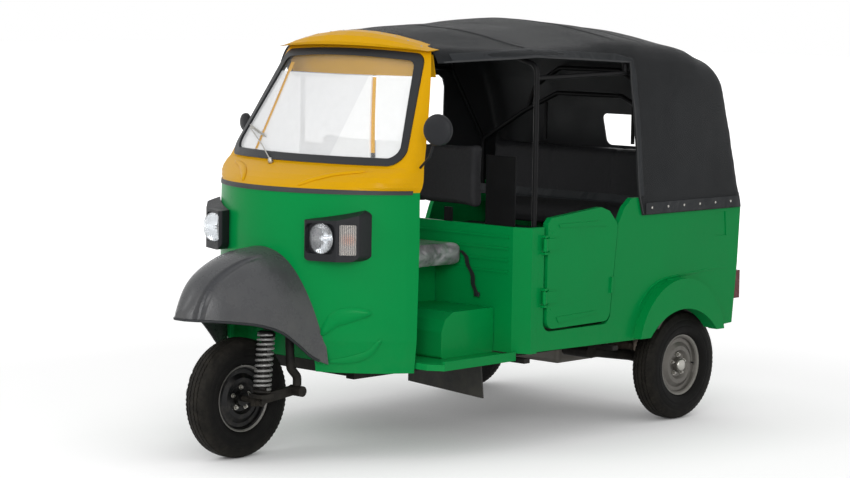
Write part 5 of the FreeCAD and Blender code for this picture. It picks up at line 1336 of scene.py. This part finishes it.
class TAXI_OT_swages(Step):
    """Pressed swages of the lower cab, the upper cab and the tail panels"""
    bl_idname = "taxi.swages"
    bl_label = "Swages"

    def execute(self, context):
        lower_leaves = ((((0.282, -0.866, 0.512), (0.330, -0.838, 0.575), (0.385, -0.800, 0.597),
                          (0.446, -0.748, 0.606)), 0.030, 0.0070),
                        (((0.300, -0.838, 0.402), (0.372, -0.800, 0.412), (0.432, -0.748, 0.440),
                          (0.472, -0.715, 0.500)), 0.014, 0.0030))
        upper_leaves = ((((0.160, -0.890, 1.110), (0.210, -0.840, 1.136), (0.285, -0.780, 1.158),
                          (0.385, -0.722, 1.168)), 0.012, 0.0040),)
        for name, solid, look, leaves, way in (
                ("cab_swages", "cab_lower", "green", lower_leaves, Vector((-0.62, 0.78, 0)).normalized()),
                ("brow_swages", "cab_upper", "yellow", upper_leaves, Vector((-0.15, 0.50, -0.85)).normalized())):
            skin = skin_of(NODES[solid])
            bm = bmesh.new()
            for spine, half, rise in leaves:
                add_leaf(bm, skin, spine, half, rise, way)
            mirror_over(bm)
            settle(name, bm, look, sharp=50)

        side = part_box("side_panel_left")[1].x
        panel = skin_of(NODES["side_panel_left"])
        line = smooth_line(((0, 0.640, 0.545), (0, 0.672, 0.582), (0, 0.732, 0.628), (0, 0.822, 0.656),
                            (0, 1.003, 0.668), (0, 1.290, 0.682)), 40)
        ridge = ((-0.013, -0.0005), (-0.006, 0.0012), (-0.001, 0.0040), (0.002, 0.0040), (0.004, -0.0005))
        rows = []
        for spot, along in zip(line, shares(len(line) - 1)):
            fade = min(1.0, 6 * along) * min(1.0, 5 * (1 - along) + 0.05)
            rows.append([touch(panel, (side + 0.3, spot.y, spot.z + offset), -X, lift * fade)[0]
                         for offset, lift in ridge])
        bm = bmesh.new()
        add_ribbon(bm, rows, 0.004)
        mirror_over(bm)
        settle("tail_swages", bm, "green", sharp=50)
        return {"FINISHED"}


def add_belt_strip():
    """Black strip round the cab where its two shells meet."""
    cab = skin_of(NODES["cab_lower"], NODES["cab_upper"])
    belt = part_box("cab_lower")[1].z
    half = trim().belt_band / 2
    bm = bmesh.new()
    add_ribbon(bm, [[touch(cab, origin, way, 0.0006)[0] for origin, way in rays]
                    for rays in zip(cab_rays(belt - half), cab_rays(belt - 0.002), cab_rays(belt + half))], -0.003)
    settle("belt_strip", bm, "tape", sharp=50)


def add_wiper(screen):
    """Wiper: foot, arm, blade and its carrier."""
    bm = bmesh.new()
    foot, normal = touch(screen, (-0.118, AHEAD, 1.180), Y, 0.001)
    add_disc(bm, foot, normal, 0.012, 0.018, 24, 0.009, 0.002)
    add_dome(bm, foot + normal * 0.018, normal, 0.008, 0.006)
    tip = touch(screen, (-0.392, AHEAD, 1.296), Y, 0.020)[0]
    knee = touch(screen, (-0.235, AHEAD, 1.240), Y, 0.024)[0]
    add_rod(bm, [foot + normal * 0.014, foot.lerp(knee, 0.5) + normal * 0.004, knee, tip], 0.0026, True)
    blade = [touch(screen, (x, AHEAD, z), Y, 0.007)[0]
             for x, z in ((-0.425, 1.308), (-0.375, 1.298), (-0.320, 1.288), (-0.262, 1.276))]
    add_rod(bm, blade, 0.0034, True)
    add_rod(bm, [p + normal * 0.009 for p in blade], 0.0022, True)
    add_rod(bm, [tip, blade[1] + normal * 0.008], 0.0026)
    settle("wiper", bm, "dull")


def add_rivets():
    """Rivets along the cap over the windscreen."""
    bm = bmesh.new()
    visor = skin_of(NODES["roof_visor"])
    for k in range(-5, 6):
        place, normal, _, _ = visor.ray_cast(Vector((k * 0.075, ROOF_FRONT - 0.012, 2.2)), -Z)
        if place:
            add_dome(bm, place, normal, 0.0045, 0.0022, 10)
    settle("cab_rivets", bm, "dull")


def add_header(screen):
    """Header inside the cab, over the windscreen."""
    head, drop, half = 1.638, 0.093, 0.420
    bm = bmesh.new()
    rows = []
    for along in shares(28):
        x = -half + 2 * half * along
        back = max(touch(screen, (x, BULKHEAD - 0.15, z), -Y)[0].y for z in (1.575, head))
        rows.append([Vector((x, back + 0.010 + 0.020 * share, head - drop * share))
                     for share in (0.0, 0.35, 0.9, 1.0)])
    add_ribbon(bm, rows, 0.003)
    settle("inner_header", bm, "yellow")


def add_strips(screen):
    """Two strips behind the windscreen."""
    bm = bmesh.new()
    for low, high, half in SCREEN_STRIPS:
        rows = []
        for share in shares(30):
            x, z = low[0] + (high[0] - low[0]) * share, low[1] + (high[1] - low[1]) * share
            rows.append([touch(screen, (x + aside, AHEAD, z), Y, -0.0075)[0]
                         for aside in (-0.007 - half, -0.007, half - 0.004)])
        add_ribbon(bm, rows, -0.0012)
    settle("screen_strips", bm, "yellow", sharp=60)


class TAXI_OT_cab_trim(Step):
    """Belt strip, wiper, rivets, inner header and the strips behind the windscreen"""
    bl_idname = "taxi.cab_trim"
    bl_label = "Cab trim"

    def execute(self, context):
        screen = skin_of(NODES["windscreen_glass"], NODES["windscreen_seal"], NODES["cab_upper"])
        add_belt_strip()
        add_wiper(screen)
        add_rivets()
        add_header(screen)
        add_strips(screen)
        return {"FINISHED"}


# Lamps
# Place, radius and foremost point of a headlamp, the ball that its glass is cut from, and a flasher's limits
LAMP_X, LAMP_Z, LAMP_RADIUS = 0.316, 0.907, 0.061
LAMP_APEX = FRONT_AXLE.y + 0.140
GLASS_BALL = 0.150
FLASHER_INNER, FLASHER_OUTER, FLASHER_LOW, FLASHER_HIGH = 0.391, 0.441, 0.8435, 0.9645


class TAXI_OT_lamps(Step):
    """Headlamps with bowl, bulb and fluted glass, and the corner flashers"""
    bl_idname = "taxi.lamps"
    bl_label = "Lamps"

    def execute(self, context):
        def settle_pair(name, bm, look, sharp):
            """Settles a piece together with its mirror twin."""
            mirror_over(bm)
            return settle(name, bm, look, sharp=sharp)

        centre = (LAMP_X, LAMP_APEX, LAMP_Z)
        rim = math.sqrt(GLASS_BALL ** 2 - LAMP_RADIUS ** 2) - GLASS_BALL
        dome = [(LAMP_RADIUS * share, math.sqrt(GLASS_BALL ** 2 - (LAMP_RADIUS * share) ** 2) - GLASS_BALL)
                for share in shares(10)]
        inner = [(r * 0.96, t - 0.003) for r, t in reversed(dome)]
        bm = bmesh.new()
        add_spun(bm, dome + [(LAMP_RADIUS, rim - 0.010), (LAMP_RADIUS * 0.97, rim - 0.010)] + inner[:-1]
                 + [(0.0, -0.003)], centre, -Y, 48)
        glass = settle_pair("headlamp_glass", bm, "lens", 50)
        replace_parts(glass, "lamp_lenses")

        bowl = [(0.012 + (LAMP_RADIUS - 0.014) * share, rim - 0.022 + 0.012 * share ** 2) for share in shares(12)]
        shell = bowl + [(LAMP_RADIUS - 0.0015, bowl[-1][1] - 0.002)] + [(r, t - 0.0016) for r, t in reversed(bowl)]
        bulb = [(0.0, rim - 0.006), (0.010, rim - 0.008), (0.012, rim - 0.014), (0.012, rim - 0.022),
                (0.0, rim - 0.022)]
        bm = bmesh.new()
        add_spun(bm, shell + [bowl[0]], centre, -Y, 48)
        add_spun(bm, bulb, centre, -Y, 24)
        settle_pair("headlamp_bowls", bm, "chrome", 40)

        corner, outer = Vector((0.385, FRONT_AXLE.y + 0.176, 0)), Vector((0.450, FRONT_AXLE.y + 0.243, 0))
        run = (outer - corner).normalized()
        out = Vector((run.y, -run.x, 0))
        start, end = (corner + run * (x - corner.x) / run.x for x in (FLASHER_INNER, FLASHER_OUTER))
        for name, look, parts, depth, flute, wall in (("flasher_plates", "bulb", 18, -0.0062, 0.0022, 0.0012),
                                                      ("flasher_glass", "lens", 2, -0.0030, 0.0, 0.0026)):
            grid = []
            for k, share in enumerate(shares(parts)):
                spot = start.lerp(end, share) + out * (depth + (flute if k % 2 else 0.0))
                grid.append([(spot.x, spot.y, z) for z in (FLASHER_LOW, FLASHER_HIGH)])
            bm = bmesh.new()
            add_ribbon(bm, grid, wall)
            settle_pair(name, bm, look, 20)
        return {"FINISHED"}


# Mirrors
class TAXI_OT_mirrors(Step):
    """Domed backs, bezels and glass of the two mirrors"""
    bl_idname = "taxi.mirrors"
    bl_label = "Mirrors"

    def execute(self, context):
        heads = ((Vector((0.690, FRONT_AXLE.y + 0.432, 1.350)), 15, 0.062),
                 (Vector((-0.655, FRONT_AXLE.y + 0.650, 1.315)), -15, 0.038))
        shells, silver = bmesh.new(), bmesh.new()
        for centre, facing, radius in heads:
            ahead = Vector((math.sin(math.radians(facing)), -math.cos(math.radians(facing)), 0))
            back = [(radius * math.sin(math.radians(a)), 0.006 + 0.012 * math.cos(math.radians(a)))
                    for a in range(90, -1, -10)]
            add_spun(shells, [(radius + 0.0012, -0.007), (radius + 0.0022, 0.0)] + back
                     + [(0.0, 0.004), (radius - 0.001, 0.004), (radius - 0.001, -0.007), (radius + 0.0012, -0.007)],
                     centre, ahead, 48)
            add_spun(silver, [(0.0, -0.0072), (radius - 0.003, -0.0066), (radius - 0.003, -0.0060), (0.0, -0.0060)],
                     centre, ahead, 48)
        settle("mirror_shells", shells, "plastic", sharp=50)
        settle("mirror_glass", silver, "mirror", sharp=50)
        return {"FINISHED"}


# Doors, lid and controls
class TAXI_OT_door_parts(Step):
    """Hinge screws and pull of the passenger door, and the lid's catches"""
    bl_idname = "taxi.door_parts"
    bl_label = "Door parts"

    def execute(self, context):
        low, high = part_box("passenger_door")
        door = skin_of(NODES["passenger_door"])
        bm = bmesh.new()
        for z in (0.585, 0.905):
            for dy, dz in ((0.030, -0.014), (0.030, 0.014), (0.050, 0.0)):
                place, normal, _, _ = door.ray_cast(Vector((BESIDE, low.y + 0.01 + dy, z + dz)), -X)
                if place:
                    add_dome(bm, place, normal, 0.0042, 0.0025, 10)
        settle("door_screws", bm, "green", "door")
        bm = bmesh.new()
        grip = Vector((high.x - 0.045, high.y - 0.075, 0.93))
        add_rod(bm, [grip + Vector((x, 0, z)) for x, z in ((0.02, -0.05), (-0.012, -0.05), (-0.016, 0.0),
                                                           (-0.012, 0.05), (0.02, 0.05))], 0.005, True)
        settle("door_pull", bm, "steel", "door")
        bm = bmesh.new()
        back = skin_of(NODES["engine_lid"])
        for side in (1, -1):
            place, normal = touch(back, (side * 0.20, BEHIND, 0.50), -Y)
            add_disc(bm, place, normal, 0.016, 0.004, 24, 0.015, 0.001)
            add_disc(bm, place + normal * 0.004, normal, 0.009, 0.006, 6, 0.008)
        settle("lid_catches", bm, "dull", "lid")
        return {"FINISHED"}


def add_levers():
    """Hand levers with their clamps on the handlebar."""
    low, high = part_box("handle_grips")
    bm = bmesh.new()
    z = (low.z + high.z) / 2
    for side in (1, -1):
        root = Vector((side * (high.x - 0.140), low.y - 0.001, z))
        tip = Vector((side * (high.x - 0.066), low.y - 0.012, z - 0.003))
        add_disc(bm, root + Y * 0.030, -Y, 0.017, 0.034, 24, 0.014, 0.002)
        add_rod(bm, [root, root.lerp(tip, 0.3) - Y * 0.008, root.lerp(tip, 0.7) - Y * 0.006, tip], 0.0045, True)
        add_dome(bm, tip, X, 0.007, 0.007)
    settle("control_levers", bm, "dull", "steering")


def add_dial():
    """Round instrument on the shelf."""
    low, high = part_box("dash_shelf")
    dial = Vector((0.0, low.y + 0.13, high.z + 0.030))
    tilt = Vector((0, 0.75, 0.66)).normalized()
    for name, look, profile in (
            ("dial_case", "plastic", [(0.0, -0.034), (0.040, -0.030), (0.052, -0.010), (0.054, 0.010),
                                      (0.051, 0.013), (0.047, 0.011), (0.046, 0.004), (0.0, 0.004)]),
            ("dial_glass", "mirror", [(0.0, 0.0046), (0.045, 0.0046), (0.045, 0.0062), (0.0, 0.0062)])):
        bm = bmesh.new()
        add_spun(bm, profile, dial, tilt, 40)
        settle(name, bm, look)


def add_pedals():
    """Pedal, heel rod and lever on the floor."""
    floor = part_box("driver_floor")[1].z - 0.012
    y = BULKHEAD - 0.42
    bm = bmesh.new()
    add_block(bm, (0.265, y - 0.012, floor), (0.315, y + 0.040, floor + 0.012), 0.002)
    add_rod(bm, ((0.290, y + 0.012, floor), (0.290, y - 0.010, floor + 0.045), (0.290, y - 0.052, floor + 0.088),
                 (0.290, y - 0.080, floor + 0.094)), 0.0065, True)
    add_block(bm, (0.255, y - 0.118, floor + 0.088), (0.325, y - 0.068, floor + 0.101), 0.003)
    add_rod(bm, ((0.290, y + 0.02, floor + 0.018), (0.360, y + 0.045, floor + 0.022),
                 (0.430, y + 0.050, floor + 0.040)), 0.0055)
    add_rod(bm, ((0.355, y - 0.005, floor + 0.012), (0.355, y + 0.020, floor + 0.070),
                 (0.372, y + 0.060, floor + 0.098), (0.372, y + 0.090, floor + 0.040)), 0.004, True)
    settle("foot_controls", bm, "green")


class TAXI_OT_controls(Step):
    """Levers on the handlebar, instrument and pedals"""
    bl_idname = "taxi.controls"
    bl_label = "Controls"

    def execute(self, context):
        add_levers()
        add_dial()
        add_pedals()
        return {"FINISHED"}


# Stage
CAMERA_PLACE = Vector((7.4545, -7.9862, 1.8961))
CAMERA_YAW, CAMERA_PITCH, CAMERA_ROLL = 42.874, 5.599, 0.854
CAMERA_LENS, SENSOR = 107.03, 36.0
# Name, place, target, size and power of each lamp
STAGE_LAMPS = (("key", (5.4, -6.4, 3.1), (0, 0, 0.8), (3.6, 2.4), 225),
               ("front", (-2.6, -6.2, 4.6), (0, -0.4, 0.8), (2.6, 2.0), 80),
               ("top", (0.0, 0.2, 6.0), (0, 0, 0), (5.0, 5.0), 30))


def add_lamp(name, at, target, size, power):
    """Soft rectangular lamp that faces a point."""
    light = bpy.data.lights.new(name, "AREA")
    light.shape = "RECTANGLE"
    light.size, light.size_y = size
    light.energy = power
    lamp = bpy.data.objects.new(name, light)
    lamp.location = at
    lamp.rotation_euler = (Vector(at) - Vector(target)).to_track_quat("Z", "Y").to_euler()
    bpy.context.scene.collection.objects.link(lamp)


def camera_turn():
    """Rotation of the photograph's camera."""
    yaw, pitch, roll = (math.radians(v) for v in (CAMERA_YAW, CAMERA_PITCH, CAMERA_ROLL))
    ahead = Vector((-math.sin(yaw) * math.cos(pitch), math.cos(yaw) * math.cos(pitch), -math.sin(pitch)))
    right = Vector((math.cos(yaw), math.sin(yaw), 0))
    up = right.cross(ahead)
    right, up = (right * math.cos(roll) + up * math.sin(roll), up * math.cos(roll) - right * math.sin(roll))
    return Matrix((right, up, -ahead)).transposed().to_4x4()


class TAXI_OT_stage(Step):
    """Floor, studio light and the camera at the photograph's angle"""
    bl_idname = "taxi.stage"
    bl_label = "Stage"

    def execute(self, context):
        scene = context.scene
        bm = bmesh.new()
        bmesh.ops.create_grid(bm, x_segments=4, y_segments=4, size=60.0)
        settle("floor", bm, "floor", None)
        scene.world = bpy.data.worlds.new("studio")
        scene.world.use_nodes = True
        tree = scene.world.node_tree
        height = axes(node(tree, "TexCoord").outputs["Generated"])[2]
        back = tree.nodes["Background"]
        feed(back.inputs["Color"], (1, 1, 1, 1))
        feed(back.inputs["Strength"], maths("MAXIMUM", seen_rays(tree), spread(height, 0.0, 1.0, 0.84, 0.30)))
        for lamp in STAGE_LAMPS:
            add_lamp(*lamp)
        data = bpy.data.cameras.new("photo_camera")
        data.lens, data.sensor_width = CAMERA_LENS, SENSOR
        data.clip_end = 200
        camera = bpy.data.objects.new("photo_camera", data)
        camera.matrix_world = Matrix.Translation(CAMERA_PLACE) @ camera_turn()
        scene.collection.objects.link(camera)
        scene.camera = camera
        scene.view_settings.view_transform = "Standard"
        return {"FINISHED"}


# Panel and registration
STEPS = (TAXI_OT_materials, TAXI_OT_tyres, TAXI_OT_wheel_parts, TAXI_OT_front_spring, TAXI_OT_soft_roof,
         TAXI_OT_roof_trim, TAXI_OT_cushions, TAXI_OT_guard_bead, TAXI_OT_swages, TAXI_OT_cab_trim, TAXI_OT_lamps,
         TAXI_OT_mirrors, TAXI_OT_door_parts, TAXI_OT_controls, TAXI_OT_stage)


class TAXI_PT_panel(Panel):
    """Lists the steps and their sizes"""
    bl_idname = "TAXI_PT_panel"
    bl_label = "Taxi dresser"
    bl_space_type = "VIEW_3D"
    bl_region_type = "UI"
    bl_category = "Taxi"

    def draw(self, context):
        for settings in SETTINGS:
            group = getattr(context.scene, settings)
            box = self.layout.box()
            for name in group.__annotations__:
                box.prop(group, name)
        for step in STEPS:
            self.layout.operator(step.bl_idname)


SETTINGS = {"taxi_finish": FinishSettings, "taxi_trim": TrimSettings, "taxi_cloth": ClothSettings}
CLASSES = (*SETTINGS.values(), *STEPS, TAXI_PT_panel)


def register():
    """Registers the classes and puts the settings on the scene."""
    for item in CLASSES:
        bpy.utils.register_class(item)
    for name, kind in SETTINGS.items():
        setattr(bpy.types.Scene, name, PointerProperty(type=kind))


def unregister():
    """Takes the settings off the scene and unregisters the classes."""
    for name in SETTINGS:
        delattr(bpy.types.Scene, name)
    for item in reversed(CLASSES):
        bpy.utils.unregister_class(item)


def main():
    """Runs every step."""
    register()
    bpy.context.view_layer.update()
    for step in STEPS:
        group, name = step.bl_idname.split(".")
        getattr(getattr(bpy.ops, group), name)()


if __name__ == "__main__":
    main()
